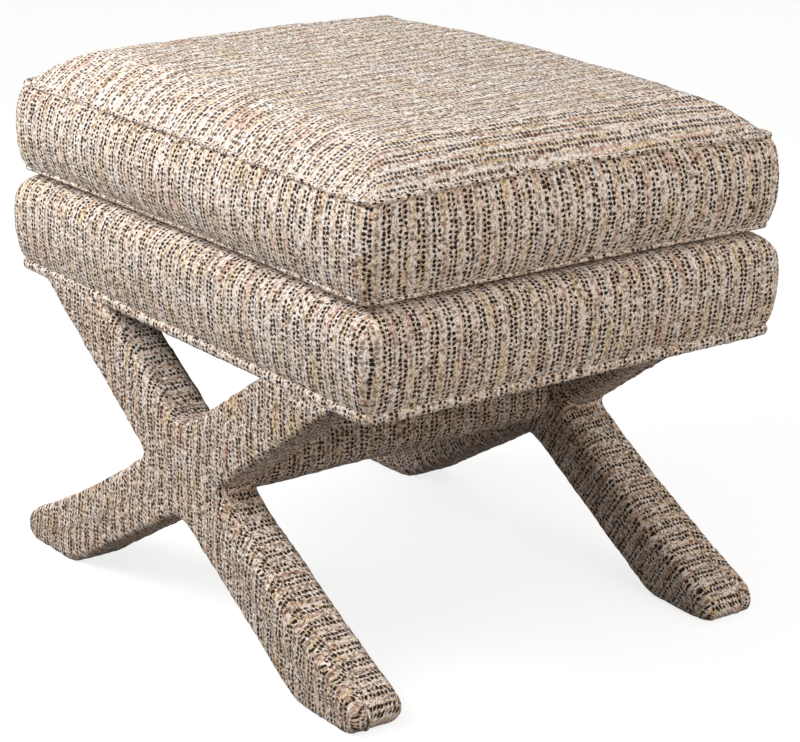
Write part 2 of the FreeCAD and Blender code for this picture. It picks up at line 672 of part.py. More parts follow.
def crotch_edges(shape, inset):
    """The edges across an X where its two boards' outlines cross each other."""
    own = [vertex.Point for vertex in inset_outline(inset).Vertexes]
    own = own + [Vector(-point.x, point.y, point.z) for point in own]
    found = []
    for edge in shape.Edges:
        ends = [on_face(vertex.X, vertex.Z) for vertex in edge.Vertexes]
        if len(ends) < 2 or (ends[1] - ends[0]).Length > 0.01:
            continue
        if min((ends[0] - point).Length for point in own) > 0.01:
            found.append(edge)
    return found


def x_slab(inset, from_y, to_y, top, edge_round=0.0):
    """A slab in the shape of an X frame, inset by a skin, with rounded crotches."""
    rising = board_prism(inset, from_y, to_y)
    slab = rising.fuse(mirrored(rising, LEFT_TO_RIGHT)).removeSplitter()
    beside = [edge for edge in crotch_edges(slab, inset) if abs(edge.Vertexes[0].X) > 1]
    slab = slab.makeFillet(size("side_crotch_round") + inset, beside)
    central = [edge for edge in crotch_edges(slab, inset) if abs(edge.Vertexes[0].X) < 1]
    slab = slab.makeFillet(size("crotch_round") + inset, central)
    if edge_round:
        rim = [edge for edge in slab.Edges if all(abs(vertex.Y - to_y) < 0.01 for vertex in edge.Vertexes)]
        slab = slab.makeFillet(edge_round, rim)
    return below(slab, top)


seam_depth = frame_outer + size("seam_setback")
edge_round = size("inner_edge_round")
core_opening = block(
    Vector(-size("core_width") / 2 - gap, frame_outer, stretcher_middle - size("core_height") / 2 - gap),
    Vector(size("core_width") / 2 + gap, frame_inner + 1, stretcher_middle + size("core_height") / 2 + gap))

outer_cover = x_slab(0, frame_outer, seam_depth, seat_underside)
outer_cover = outer_cover.cut(x_slab(cover, frame_outer + cover, seam_depth + 1, seat_underside + 1))
inner_cover = x_slab(0, seam_depth, frame_inner, seat_underside, edge_round)
inner_cover = inner_cover.cut(x_slab(cover, seam_depth - 1, frame_inner - cover, seat_underside + 1,
                                     edge_round - cover))
rising_whole = board_prism(board_inset, board_outer, board_inner)
falling_whole = mirrored(rising_whole, LEFT_TO_RIGHT)
wadding = x_slab(cover, frame_outer + cover, frame_inner - cover, seat_underside, edge_round - cover)
wadding = wadding.cut(rising_whole).cut(falling_whole)

outer_half = board_prism(board_inset, board_outer, board_middle)
inner_half = board_prism(board_inset, board_middle, board_inner)
rising_board = below(rising_whole, seat_underside).cut(mirrored(outer_half, LEFT_TO_RIGHT))
falling_board = below(falling_whole, seat_underside).cut(inner_half)

all_glides = Part.makeCompound(glides)
drillings = Part.makeCompound(bolt_holes + lap_screws + glides)
x_pieces = [
    ("outer_cover", outer_cover.cut(all_glides)),
    ("inner_cover", inner_cover.cut(core_opening).cut(all_glides)),
    ("wadding", wadding.cut(core_opening).cut(all_glides)),
    ("rising_board", rising_board.cut(drillings)),
    ("falling_board", falling_board.cut(drillings)),
]
for ending, shape in x_pieces:
    feature("front_x_" + ending, shape)
    feature("back_x_" + ending, mirrored(shape, FRONT_TO_BACK))

# Stretcher

def stretcher_bar(inset, half_run):
    """The stretcher's section, inset by a skin, as a bar from front to back."""
    outline = rounded_rectangle(size("stretcher_width") - 2 * inset, size("stretcher_height") - 2 * inset,
                                size("stretcher_round") - inset, -half_run)
    bar = prism(outline, 2 * half_run)
    bar.rotate(ORIGIN, Vector(1, 0, 0), 90)
    bar.translate(Vector(0, 0, stretcher_middle))
    return bar


core_blank = plank(
    "stretcher_core_blank", "Sizes.core_width",
    "Sizes.seat_depth - 2 * (Sizes.frame_thickness - Sizes.cover_thickness - Sizes.frame_wadding)",
    "Sizes.core_height",
    z="Sizes.crossing_height + Sizes.stretcher_rise - Sizes.core_height / 2")
bored("stretcher_core", core_blank, bolt_holes)
stretcher_end = abs(frame_inner)
core_space = block(
    Vector(-size("core_width") / 2, -stretcher_end - 1, stretcher_middle - size("core_height") / 2),
    Vector(size("core_width") / 2, stretcher_end + 1, stretcher_middle + size("core_height") / 2))
feature("stretcher_wadding", stretcher_bar(cover, stretcher_end).cut(core_space))
feature("stretcher_cover", stretcher_bar(0, stretcher_end).cut(stretcher_bar(cover, stretcher_end + 1)))

# Loose cushion

cover_inset = size("ridge_width") + gap


def cushion_outline(inset, height, draw_in):
    radius = size("cushion_corner_radius") - min(inset, cover_inset + cover)
    return rounded_rectangle(size("cushion_length") - 2 * inset, size("cushion_depth") - 2 * inset,
                             radius, height, draw_in)


def crown(skin, seam, rise, run, steps):
    """One swelling panel with its filling: level outlines from its seam to its flat middle."""
    outlines = []
    for step in range(steps + 1):
        share = step / steps
        outlines.append(cushion_outline(cover_inset + skin + run * share,
                                        seam + rise * (1 - (1 - share) ** 2),
                                        size("seam_draw_in") * (1 - share)))
    return smooth_loft(outlines)


def boxing_block(skin):
    """The cushion between its two seams, swelling at mid height."""
    inset = cover_inset + skin
    return smooth_loft([
        cushion_outline(inset, lower_seam, size("seam_draw_in")),
        cushion_outline(inset - size("boxing_bulge"), boxing_middle, 0),
        cushion_outline(inset, upper_seam, size("seam_draw_in")),
    ])


top_outer = crown(0, upper_seam, size("cushion_crown"), size("crown_run"), 4)
top_inner = crown(cover, upper_seam, size("cushion_crown") - cover, size("crown_run"), 4)
bottom_outer = crown(0, lower_seam, -size("underside_swell"), size("underside_run"), 2)
bottom_inner = crown(cover, lower_seam, cover - size("underside_swell"), size("underside_run"), 2)
boxing_outer = boxing_block(0)
boxing_inner = boxing_block(cover)

feature("cushion_top_panel", top_outer.cut(top_inner))
feature("cushion_bottom_panel", bottom_outer.cut(bottom_inner))

core_body = plank("cushion_foam_core", "Sizes.cushion_length - 2 * Sizes.core_margin",
                  "Sizes.cushion_depth - 2 * Sizes.core_margin",
                  "Sizes.boxing_height + Sizes.core_rise", z=LOWER_SEAM)
core_pad = core_body.Tip
core_edges = core_body.newObject("PartDesign::Fillet", "core_edges")
core_edges.Base = (core_pad, ["Edge%d" % number for number in range(1, len(core_pad.Shape.Edges) + 1)])
core_edges.setExpression("Radius", "Sizes.core_round")
doc.recompute()
keep(core_body, "cushion_foam_core")
foam_core = core_body.Shape

tape_face = size("cushion_depth") / 2 - cover_inset + size("boxing_bulge") - size("zip_tape_sink")
tape_back = tape_face - size("zip_tape_thickness")
half_tape = size("zip_length") / 2 + size("zip_tape_overrun")
half_tape_height = size("zip_tape_height") / 2
zip_pocket = block(
    Vector(-half_tape - gap, tape_back, boxing_middle - half_tape_height - gap),
    Vector(half_tape + gap, tape_back + BEYOND, boxing_middle + half_tape_height + gap))
feature("cushion_boxing", boxing_outer.cut(boxing_inner).cut(zip_pocket))

above_middle = block(Vector(-half_length - BEYOND, -half_depth - BEYOND, boxing_middle),
                     Vector(half_length + BEYOND, half_depth + BEYOND, upper_seam + BEYOND))
boxing_upper = boxing_inner.common(above_middle)
boxing_lower = boxing_inner.cut(above_middle)
feature("cushion_top_wadding", boxing_upper.fuse(top_inner).cut(foam_core).cut(zip_pocket))
feature("cushion_bottom_wadding", boxing_lower.fuse(bottom_inner).cut(foam_core).cut(zip_pocket))

boxing_clearance = boxing_block(-gap)
for name, seam in (("cushion_top_seam", upper_seam), ("cushion_bottom_seam", lower_seam)):
    height = seam - size("ridge_height") / 2
    outer = cushion_outline(0, height, size("seam_draw_in"))
    inner = cushion_outline(size("ridge_width"), height, size("seam_draw_in"))
    feature(name, ring(outer, inner, size("ridge_height")).cut(boxing_clearance))

# Zip in the rear boxing

half_zip = size("zip_length") / 2
half_chain = size("zip_chain_height") / 2
chain_face = tape_face + size("zip_chain_thickness")
stop_length = size("zip_chain_thickness") * 2

zip_tape = plank("zip_tape", "Sizes.zip_length + 2 * Sizes.zip_tape_overrun",
                 "Sizes.zip_tape_thickness", "Sizes.zip_tape_height",
                 y=TAPE_FACE_Y + " - Sizes.zip_tape_thickness / 2",
                 z=BOXING_MIDDLE + " - Sizes.zip_tape_height / 2")
keep(zip_tape, "zip_tape")
zip_chain = plank("zip_chain", "Sizes.zip_length", "Sizes.zip_chain_thickness", "Sizes.zip_chain_height",
                  y=TAPE_FACE_Y + " + Sizes.zip_chain_thickness / 2",
                  z=BOXING_MIDDLE + " - Sizes.zip_chain_height / 2")
keep(zip_chain, "zip_chain")
stops = []
for side in (-1, 1):
    ends = sorted([side * half_zip, side * (half_zip + stop_length)])
    stops.append(block(Vector(ends[0], tape_face, boxing_middle - half_chain - cover / 2),
                       Vector(ends[1], chain_face + gap, boxing_middle + half_chain + cover / 2)))
feature("zip_stops", Part.makeCompound(stops))

slider_x = -half_zip + size("slider_length") / 2 + 2 * gap
slider_back = tape_face + gap
slider_face = slider_back + size("slider_thickness")
half_slider = size("slider_length") / 2
half_slider_height = size("slider_height") / 2
pin_y = slider_face + size("ear_size") / 2
slider = block(Vector(slider_x - half_slider, slider_back, boxing_middle - half_slider_height),
               Vector(slider_x + half_slider, slider_face, boxing_middle + half_slider_height))
slider = slider.cut(block(
    Vector(slider_x - half_slider - 1, slider_back - 1, boxing_middle - half_chain - gap),
    Vector(slider_x + half_slider + 1, chain_face + gap, boxing_middle + half_chain + gap)))
ear_reach = half_slider_height - size("ear_thickness")
pin_hole = cylinder(size("pull_pin_radius") + size("pull_pin_gap"),
                    Vector(slider_x, pin_y, boxing_middle - half_slider_height - 1),
                    Vector(slider_x, pin_y, boxing_middle + half_slider_height + 1))
for side in (-1, 1):
    ends = sorted([side * ear_reach, side * half_slider_height])
    ear = block(
        Vector(slider_x - size("ear_size") / 2, slider_face, boxing_middle + ends[0]),
        Vector(slider_x + size("ear_size") / 2, slider_face + size("ear_size"), boxing_middle + ends[1]))
    slider = slider.fuse(ear.cut(pin_hole))
feature("zip_slider", slider.removeSplitter())

half_pull = size("pull_width") / 2
half_tab = size("pull_thickness") / 2
pull = block(Vector(slider_x - half_tab, pin_y - half_tab, boxing_middle - half_pull),
             Vector(slider_x + size("pull_length"), pin_y + half_tab, boxing_middle + half_pull))
pin = cylinder(size("pull_pin_radius"), Vector(slider_x, pin_y, boxing_middle - half_slider_height + gap),
               Vector(slider_x, pin_y, boxing_middle + half_slider_height - gap))
feature("zip_pull", pull.fuse(pin).removeSplitter())

# Check, then write one file for each sub-part

doc.recompute()
for thing in doc.Objects:
    if "Invalid" in thing.State or "Error" in thing.State:
        raise RuntimeError("%s failed: %s" % (thing.Label, thing.State))

os.makedirs("parts", exist_ok=True)
for label in node_names:
    shape = doc.getObjectsByLabel(label)[0].Shape
    if shape.isNull() or not shape.isValid():
        raise RuntimeError("%s has no valid shape" % label)
    shape.exportStep("parts/%s.step" % label)
    print("%-24s solids %2d  volume %10.1f" % (label, len(shape.Solids), shape.Volume))
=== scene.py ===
"""An upholstered stool on two X frames: fabric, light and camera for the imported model, in metres."""
import itertools
import math

import bmesh
import bpy
import numpy as np
from mathutils import Matrix, Vector, kdtree


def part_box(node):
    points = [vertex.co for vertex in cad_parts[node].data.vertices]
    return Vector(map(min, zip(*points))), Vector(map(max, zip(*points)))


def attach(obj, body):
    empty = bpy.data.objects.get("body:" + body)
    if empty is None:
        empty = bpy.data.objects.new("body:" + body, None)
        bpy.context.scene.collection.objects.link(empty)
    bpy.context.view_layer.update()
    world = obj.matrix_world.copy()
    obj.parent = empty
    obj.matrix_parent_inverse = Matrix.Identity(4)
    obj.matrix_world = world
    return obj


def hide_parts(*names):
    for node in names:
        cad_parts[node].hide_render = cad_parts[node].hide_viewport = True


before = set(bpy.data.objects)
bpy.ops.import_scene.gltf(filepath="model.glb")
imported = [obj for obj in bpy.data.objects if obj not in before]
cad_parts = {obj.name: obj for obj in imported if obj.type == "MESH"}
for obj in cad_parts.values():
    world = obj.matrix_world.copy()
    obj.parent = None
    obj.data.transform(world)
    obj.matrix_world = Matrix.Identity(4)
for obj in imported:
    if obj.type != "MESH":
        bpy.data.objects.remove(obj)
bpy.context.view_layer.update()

# Camera, at the photograph's angle; widths in pixels are the photograph's

PHOTO_WIDTH = 800
FOCAL_PIXELS = 2538.3
SENSOR = 36.0
CAMERA_PLACE = Vector((1.9622, -1.4562, 1.0282))
CAMERA_FORWARD = Vector((-0.75798, 0.57182, -0.31383)).normalized()
CAMERA_ROLL = math.radians(0.868)


def add_object(name, data):
    made = bpy.data.objects.new(name, data)
    bpy.context.collection.objects.link(made)
    return made


def add_camera():
    level_right = CAMERA_FORWARD.cross(Vector((0, 0, 1))).normalized()
    level_up = level_right.cross(CAMERA_FORWARD)
    right = level_right * math.cos(CAMERA_ROLL) + level_up * math.sin(CAMERA_ROLL)
    up = right.cross(CAMERA_FORWARD)
    data = bpy.data.cameras.new("camera")
    data.sensor_width = SENSOR
    data.lens = FOCAL_PIXELS / PHOTO_WIDTH * SENSOR
    camera = add_object("camera", data)
    turn = Matrix((right, up, -CAMERA_FORWARD)).transposed()
    camera.matrix_world = Matrix.Translation(CAMERA_PLACE) @ turn.to_4x4()
    bpy.context.scene.camera = camera


# Sizes that the frame gives

BASE_LOW, BASE_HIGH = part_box("base_cover")
WELT_LOW, WELT_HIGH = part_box("base_welt")
BOXING_LOW, BOXING_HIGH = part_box("cushion_boxing")
TOP_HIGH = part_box("cushion_top_panel")[1]
BOTTOM_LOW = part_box("cushion_bottom_panel")[0]
SEAM_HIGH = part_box("cushion_top_seam")[1]
STRETCHER_LOW, STRETCHER_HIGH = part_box("stretcher_cover")
OUTER_LOW, OUTER_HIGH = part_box("front_x_outer_cover")
INNER_LOW, INNER_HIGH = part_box("front_x_inner_cover")
TAPE_LOW, TAPE_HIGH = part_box("zip_tape")

SEAT_UNDERSIDE = BASE_LOW[2]
LOWER_SEAM = BOXING_LOW[2]
UPPER_SEAM = BOXING_HIGH[2]
BOXING_MIDDLE = (LOWER_SEAM + UPPER_SEAM) / 2

# Sizes that more than one piece shares

MESH_STEP = 0.003
BASE_CORNER = 0.011
CUSHION_CORNER = 0.016
SEAM_DRAW_IN = 0.006
TINY = 1e-9

# Noise that is the same in each run

POINT_FACTORS = (73856093, 19349663, 83492791)
SEED_FACTOR = 40503
MIX_FACTORS = (1274126177, 668265263)
WORD = 0xFFFFFFFF
HALF_WORD = 0xFFFF


def lattice(cells, seed):
    """A repeatable value between -1 and 1 for each whole-numbered point."""
    mixed = seed * SEED_FACTOR
    for axis, factor in enumerate(POINT_FACTORS):
        mixed = mixed ^ cells[:, axis] * factor
    mixed = (mixed & WORD) * MIX_FACTORS[0] & WORD
    mixed = (mixed ^ mixed >> 15) * MIX_FACTORS[1] & WORD
    return (mixed >> 12 & HALF_WORD) / (HALF_WORD / 2) - 1


def smooth_noise(points, cell, seed=0):
    """Value noise between -1 and 1, with features as large as a cell."""
    scaled = points / cell
    low = np.floor(scaled).astype(np.int64)
    share = scaled - low
    share = share * share * (3 - 2 * share)
    total = np.zeros(len(points))
    for corner in itertools.product((0, 1), repeat=3):
        weight = np.prod(np.where(corner, share, 1 - share), axis=1)
        total += weight * lattice(low + np.array(corner), seed)
    return total


# Meshes made of patches, each a grid of points with its place in the weave

WELD_DISTANCE = 0.00002
PADDING_CELL = 0.045
SLUB_CELL = 0.0045
KNOT_CELL = 0.0085
KNOT_SHARE = 0.6


def steps_for(length, step):
    return max(2, int(math.ceil(length / step)))


def vertex_array(mesh, normals=False):
    """A mesh's points, or the normals at its points, one to a row."""
    values = np.empty(len(mesh.vertices) * 3)
    if normals:
        mesh.vertex_normals.foreach_get("vector", values)
    else:
        mesh.vertices.foreach_get("co", values)
    return values.reshape(-1, 3)


def set_vertices(mesh, points):
    mesh.vertices.foreach_set("co", np.ascontiguousarray(points, dtype=np.float32).ravel())
    mesh.update()


def weld(mesh):
    shape = bmesh.new()
    shape.from_mesh(mesh)
    bmesh.ops.remove_doubles(shape, verts=shape.verts, dist=WELD_DISTANCE)
    bmesh.ops.recalc_face_normals(shape, faces=shape.faces)
    shape.to_mesh(mesh)
    shape.free()
    mesh.update()


def patch_mesh(name, patches):
    """One mesh from patches, joined where their edges meet; a face's zone is the number of its patch."""
    points = np.concatenate([grid.reshape(-1, 3) for grid, weave in patches])
    weave = np.concatenate([weave.reshape(-1, 2) for grid, weave in patches])
    quads = []
    zones = []
    start = 0
    for number, (grid, patch_weave) in enumerate(patches):
        rows, columns = grid.shape[:2]
        index = np.arange(rows * columns).reshape(rows, columns) + start
        corners = (index[:-1, :-1], index[:-1, 1:], index[1:, 1:], index[1:, :-1])
        quads.append(np.stack([corner.ravel() for corner in corners], axis=1))
        zones.append(np.full(len(quads[-1]), number))
        start += rows * columns
    quads = np.concatenate(quads)
    mesh = bpy.data.meshes.new(name)
    mesh.from_pydata(points.tolist(), [], quads.tolist())
    layer = mesh.uv_layers.new(name="weave")
    layer.data.foreach_set("uv", weave[quads.ravel()].astype(np.float32).ravel())
    zone = mesh.attributes.new("zone", "INT", "FACE")
    zone.data.foreach_set("value", np.concatenate(zones).astype(np.int32))
    weld(mesh)
    return mesh


def add_piece(name, mesh, body, slot, *materials):
    piece = add_object(name, mesh)
    for material in materials:
        mesh.materials.append(material)
    mesh.shade_smooth()
    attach(piece, body)
    return piece


def roughen(mesh, padding, yarn, seed):
    """Moves a mesh's points along their normals: slow unevenness of the padding and slubs of the yarn."""
    points = vertex_array(mesh)
    rise = padding * smooth_noise(points, PADDING_CELL, seed)
    rise += yarn * smooth_noise(points, SLUB_CELL, seed + 1)
    rise += KNOT_SHARE * yarn * smooth_noise(points, KNOT_CELL, seed + 2)
    set_vertices(mesh, points + vertex_array(mesh, normals=True) * rise[:, None])


# Rounded outlines: four sides, each from the middle of one corner to the middle of the next

SIDES = (
    (np.array([1, 0]), np.array([0, -1])),
    (np.array([0, 1]), np.array([1, 0])),
    (np.array([-1, 0]), np.array([0, 1])),
    (np.array([0, -1]), np.array([-1, 0])),
)
SHORTEST_SIDE = 1e-6
CORNER_FADE = 4


def outline_sides(half_x, half_y):
    """Each side's half length, its half distance from the middle, its direction and the way it faces."""
    for number, axes in enumerate(SIDES):
        yield (half_x, half_y, *axes) if number % 2 == 0 else (half_y, half_x, *axes)


def side_line(half_along, half_out, radius, draw_in, shares):
    """One side of a rounded outline; shares run from -1 to 1 along it, and its middle is drawn in."""
    straight = max(half_along - radius, SHORTEST_SIDE)
    reach = straight + radius * math.pi / 4
    run = shares * reach
    turn = np.clip((np.abs(run) - straight) / max(radius, TINY), 0, None)
    along = np.sign(run) * np.where(turn > 0, straight + radius * np.sin(turn), np.abs(run))
    out = half_out - radius * (1 - np.cos(turn)) - draw_in * np.clip(1 - (run / straight) ** 2, 0, 1)
    return along, out, run


def outline_path(half_x, half_y, inset, radius, height, step):
    """Points round a rounded outline whose sides are drawn in as the cushion's seams are."""
    points = []
    for half_along, half_out, along_axis, out_axis in outline_sides(half_x, half_y):
        shares = np.linspace(-1, 1, steps_for(2 * half_along, step) + 1)[:-1]
        along, out, run = side_line(half_along - inset, half_out - inset, radius, SEAM_DRAW_IN, shares)
        level = along[:, None] * along_axis + out[:, None] * out_axis
        points.append(np.column_stack([level, np.full(len(shares), height)]))
    return np.concatenate(points)


def band(half_x, half_y, rows, step, mitred=False):
    """The patches of a wall round a rounded outline; a row is an inset, a height, a radius and a draw-in."""
    patches = []
    offset = 0.0
    climbs = [0.0]
    for before, after in zip(rows, rows[1:]):
        climbs.append(climbs[-1] + math.hypot(after[0] - before[0], after[1] - before[1]))
    for half_along, half_out, along_axis, out_axis in outline_sides(half_x, half_y):
        shares = np.linspace(-1, 1, steps_for(2 * (half_along - rows[-1][0]), step) + 1)
        full_reach = half_along - rows[0][2] * (1 - math.pi / 4)
        offset += full_reach
        grid = np.empty((len(rows), len(shares), 3))
        weave = np.empty((len(rows), len(shares), 2))
        for row, (inset, height, radius, draw_in) in enumerate(rows):
            along, out, run = side_line(half_along - inset, half_out - inset, radius, draw_in, shares)
            grid[row, :, :2] = along[:, None] * along_axis + out[:, None] * out_axis
            grid[row, :, 2] = height
            weave[row, :, 0] = offset + (run if mitred else shares * full_reach)
            weave[row, :, 1] = climbs[row]
        offset += full_reach
        patches.append((grid, weave))
    return patches


def panel(half_x, half_y, radius, draw_in, height_at, step):
    """A rounded outline filled with nested rings; height_at gives the height for an inset and a place."""
    count_x = steps_for(2 * half_x, step)
    count_y = steps_for(2 * half_y, step)
    grid = np.empty((count_y + 1, count_x + 1, 3))
    for row, share_y in enumerate(np.linspace(-1, 1, count_y + 1)):
        for column, share_x in enumerate(np.linspace(-1, 1, count_x + 1)):
            gap_x = half_x * (1 - abs(share_x))
            gap_y = half_y * (1 - abs(share_y))
            inset = min(gap_x, gap_y)
            fade = max(0.0, 1 - inset / (CORNER_FADE * radius))
            near_end = gap_x < gap_y
            half_along, half_out = (half_y, half_x) if near_end else (half_x, half_y)
            here, side = (half_y * share_y, share_x) if near_end else (half_x * share_x, share_y)
            share = here / max(half_along - inset, TINY)
            along, out, run = side_line(half_along - inset, half_out - inset, radius * fade,
                                        draw_in * fade, np.array([share]))
            x, y = (out[0] * np.sign(side), along[0]) if near_end else (along[0], out[0] * np.sign(side))
            grid[row, column] = (x, y, height_at(inset, x, y))
    return grid, grid[:, :, :2].copy()


# Wiring of materials and of the world

WHITE = (1.0, 1.0, 1.0, 1.0)
MIX_FIRST = 6
MIX_SECOND = 7
MIX_RESULT = 2


def colour(red, green, blue):
    """A colour as it looks on a screen, from 0 to 255, made linear."""
    linear = []
    for value in (red, green, blue):
        share = value / 255
        linear.append(share / 12.92 if share <= 0.04045 else ((share + 0.055) / 1.055) ** 2.4)
    return (*linear, 1.0)


class Wiring:
    """Short calls for wiring nodes in a tree; most return the new node's output socket."""

    def __init__(self, tree):
        self.tree = tree

    def node(self, kind, **settings):
        made = self.tree.nodes.new(kind)
        for setting, value in settings.items():
            setattr(made, setting, value)
        return made

    def feed(self, socket, value):
        if isinstance(value, bpy.types.NodeSocket):
            self.tree.links.new(value, socket)
        else:
            socket.default_value = value

    def maths(self, operation, first, second=0.0, third=0.0, clamp=False):
        made = self.node("ShaderNodeMath", operation=operation, use_clamp=clamp)
        for socket, value in zip(made.inputs, (first, second, third)):
            self.feed(socket, value)
        return made.outputs[0]

    def combine(self, x, y, z=0.0):
        made = self.node("ShaderNodeCombineXYZ")
        for socket, value in zip(made.inputs, (x, y, z)):
            self.feed(socket, value)
        return made.outputs[0]

    def split(self, value, kind="ShaderNodeSeparateXYZ"):
        """The three parts of a vector or a colour."""
        made = self.node(kind)
        self.feed(made.inputs[0], value)
        return tuple(made.outputs)

    def noise(self, vector, scale=1.0, detail=2.0, roughness=0.5, distortion=0.0, output="Fac"):
        made = self.node("ShaderNodeTexNoise")
        self.feed(made.inputs["Vector"], vector)
        made.inputs["Scale"].default_value = scale
        made.inputs["Detail"].default_value = detail
        made.inputs["Roughness"].default_value = roughness
        made.inputs["Distortion"].default_value = distortion
        return made.outputs[output]

    def chance(self, x, y, z=0.0):
        """Three random numbers from 0 to 1 that belong to a whole-numbered place."""
        made = self.node("ShaderNodeTexWhiteNoise", noise_dimensions="3D")
        self.feed(made.inputs["Vector"], self.combine(x, y, z))
        return self.split(made.outputs["Color"], "ShaderNodeSeparateColor")

    def spread(self, value, gain, level=0.5):
        """A value with its distance from a half enlarged, about a new level."""
        return self.maths("MULTIPLY_ADD", self.maths("SUBTRACT", value, 0.5), gain, level)

    def ramp(self, factor, *stops):
        made = self.node("ShaderNodeValToRGB")
        elements = made.color_ramp.elements
        while len(elements) < len(stops):
            elements.new(0.5)
        for element, (place, stop_colour) in zip(elements, stops):
            element.position = place
            element.color = stop_colour
        self.feed(made.inputs[0], factor)
        return made.outputs[0]

    def mix(self, factor, first, second, blend="MIX"):
        made = self.node("ShaderNodeMix", data_type="RGBA", blend_type=blend)
        self.feed(made.inputs[0], factor)
        self.feed(made.inputs[MIX_FIRST], first)
        self.feed(made.inputs[MIX_SECOND], second)
        return made.outputs[MIX_RESULT]

    def background_rays(self):
        """1 for the rays that see the plain background: from the camera, or by way of metal or glass."""
        rays = self.node("ShaderNodeLightPath")
        seen = rays.outputs["Is Camera Ray"]
        for other in ("Is Glossy Ray", "Is Transmission Ray"):
            seen = self.maths("MAXIMUM", seen, rays.outputs[other])
        return seen


class MaterialWiring(Wiring):
    """The wiring of one new material, up to its shader."""

    def __init__(self, name):
        self.material = bpy.data.materials.new(name)
        self.material.use_nodes = True
        super().__init__(self.material.node_tree)
        self.shader = self.tree.nodes["Principled BSDF"]

    def bump(self, height, distance, strength):
        made = self.node("ShaderNodeBump")
        made.inputs["Strength"].default_value = strength
        made.inputs["Distance"].default_value = distance
        self.feed(made.inputs["Height"], height)
        self.feed(self.shader.inputs["Normal"], made.outputs[0])

    def finish(self, base_colour, roughness, metallic=0.0, sheen=0.0, specular=0.5):
        self.feed(self.shader.inputs["Base Color"], base_colour)
        self.feed(self.shader.inputs["Roughness"], roughness)
        self.shader.inputs["Metallic"].default_value = metallic
        self.shader.inputs["Sheen Weight"].default_value = sheen
        self.shader.inputs["Specular IOR Level"].default_value = specular
        return self.material


# Tweed: each repeat has three dotted columns, given by place, rough share of dots missing and strength

REPEAT_WIDTH = 0.0175
DOT_COLUMNS = ((0.0040, 0.06, 1.0), (0.0092, 0.10, 1.0), (0.0145, 0.50, 0.6))
DOT_PITCH = 0.0044
SMALLEST_DOT = 0.00138
DOT_SPREAD = 0.0007
DOT_SOFT_EDGE = 0.0003
DOT_ASPECT = 0.9
COLUMN_SHIFT = 0.0010
COLUMN_START_ROWS = 9.0
DOT_CHANCES = 10
DOT_JITTER_ACROSS = 0.0012
DOT_JITTER_ROWS = 0.2
MISSING_SPREAD = 0.3
MISSING_LEVEL = 0.12
WANDER = 0.0045
FUZZ_ACROSS = 0.0046
FUZZ_ROWS = 1.05

# Noise scales of the tweed, in features per metre: across the columns and along them

FUZZ_SCALE = 560.0
WANDER_SCALE = (30.0, 14.0)
NUB_SCALE = (380.0, 300.0)
STREAK_SCALE = (260.0, 24.0)
TINT_SCALE = (230.0, 17.0)
SPECK_SCALE = (1050.0, 900.0)

# Shades of the tweed: dark to pale yarn, whose dark end is partly brown flecks of yarn and partly painted
# shade in the crevices between the nubs, then what multiplies or covers it

YARN_AND_CREVICE_SHADES = (
    (0.12, colour(92, 66, 50)), (0.34, colour(182, 154, 132)), (0.52, colour(232, 213, 198)),
    (0.72, colour(250, 240, 232)), (1.0, colour(255, 252, 248)),
)
YARN_LEVEL = 0.13
NUB_SHARE = 0.62
STREAK_SHARE = 0.28
OCHRE = colour(236, 219, 172)
OCHRE_ABOVE = 0.59
OCHRE_STRENGTH = 0.65
RUST = colour(226, 186, 162)
RUST_BELOW = 0.37
RUST_STRENGTH = 0.6
TINT_EDGE = 0.05
DOT_COLOUR = colour(44, 32, 26)
FLECK_GAIN = 1.5
SPECK_LEVEL = 0.52
FIBRE_RELIEF = 0.9
NUB_RELIEF = 0.5
DOT_SINK = 0.4
TWEED_RELIEF = 0.0011
TWEED_BUMP = 0.8


def dotted_columns(wiring, across, along, fuzz_across, fuzz_along):
    """How dark the dots are at each place; their edges are frayed by the fuzz."""
    maths = wiring.maths
    repeat = maths("DIVIDE", across, REPEAT_WIDTH)
    repeat_number = maths("FLOOR", repeat)
    in_repeat = maths("MULTIPLY", maths("FRACT", repeat), REPEAT_WIDTH)
    in_repeat = maths("MULTIPLY_ADD", maths("SUBTRACT", fuzz_across, 0.5), FUZZ_ACROSS, in_repeat)
    dots = 0.0
    for number, (place, missing, strength) in enumerate(DOT_COLUMNS):
        shift, start, rarity = wiring.chance(repeat_number, number)
        row = maths("ADD", maths("DIVIDE", along, DOT_PITCH), maths("MULTIPLY", start, COLUMN_START_ROWS))
        row_number = maths("FLOOR", row)
        jitter_across, jitter_along, weight = wiring.chance(repeat_number, number + DOT_CHANCES, row_number)
        side = maths("SUBTRACT", in_repeat, place + COLUMN_SHIFT / 2)
        side = maths("MULTIPLY_ADD", shift, COLUMN_SHIFT, side)
        side = maths("MULTIPLY_ADD", maths("SUBTRACT", jitter_across, 0.5), DOT_JITTER_ACROSS, side)
        side = maths("MULTIPLY", side, DOT_ASPECT)
        centre = maths("MULTIPLY_ADD", jitter_along, DOT_JITTER_ROWS, 0.5 - DOT_JITTER_ROWS / 2)
        rise = maths("SUBTRACT", maths("FRACT", row), centre)
        rise = maths("MULTIPLY_ADD", maths("SUBTRACT", fuzz_along, 0.5), FUZZ_ROWS, rise)
        rise = maths("MULTIPLY", rise, DOT_PITCH)
        reach = maths("SQRT", maths("ADD", maths("MULTIPLY", side, side), maths("MULTIPLY", rise, rise)))
        radius = maths("MULTIPLY_ADD", weight, DOT_SPREAD, SMALLEST_DOT)
        soft = maths("DIVIDE", maths("SUBTRACT", radius, reach), DOT_SOFT_EDGE, clamp=True)
        likely = maths("MULTIPLY_ADD", rarity, MISSING_SPREAD, weight)
        present = maths("MULTIPLY", maths("GREATER_THAN", likely, missing + MISSING_LEVEL), strength)
        dots = maths("MAXIMUM", dots, maths("MULTIPLY", soft, present))
    return dots


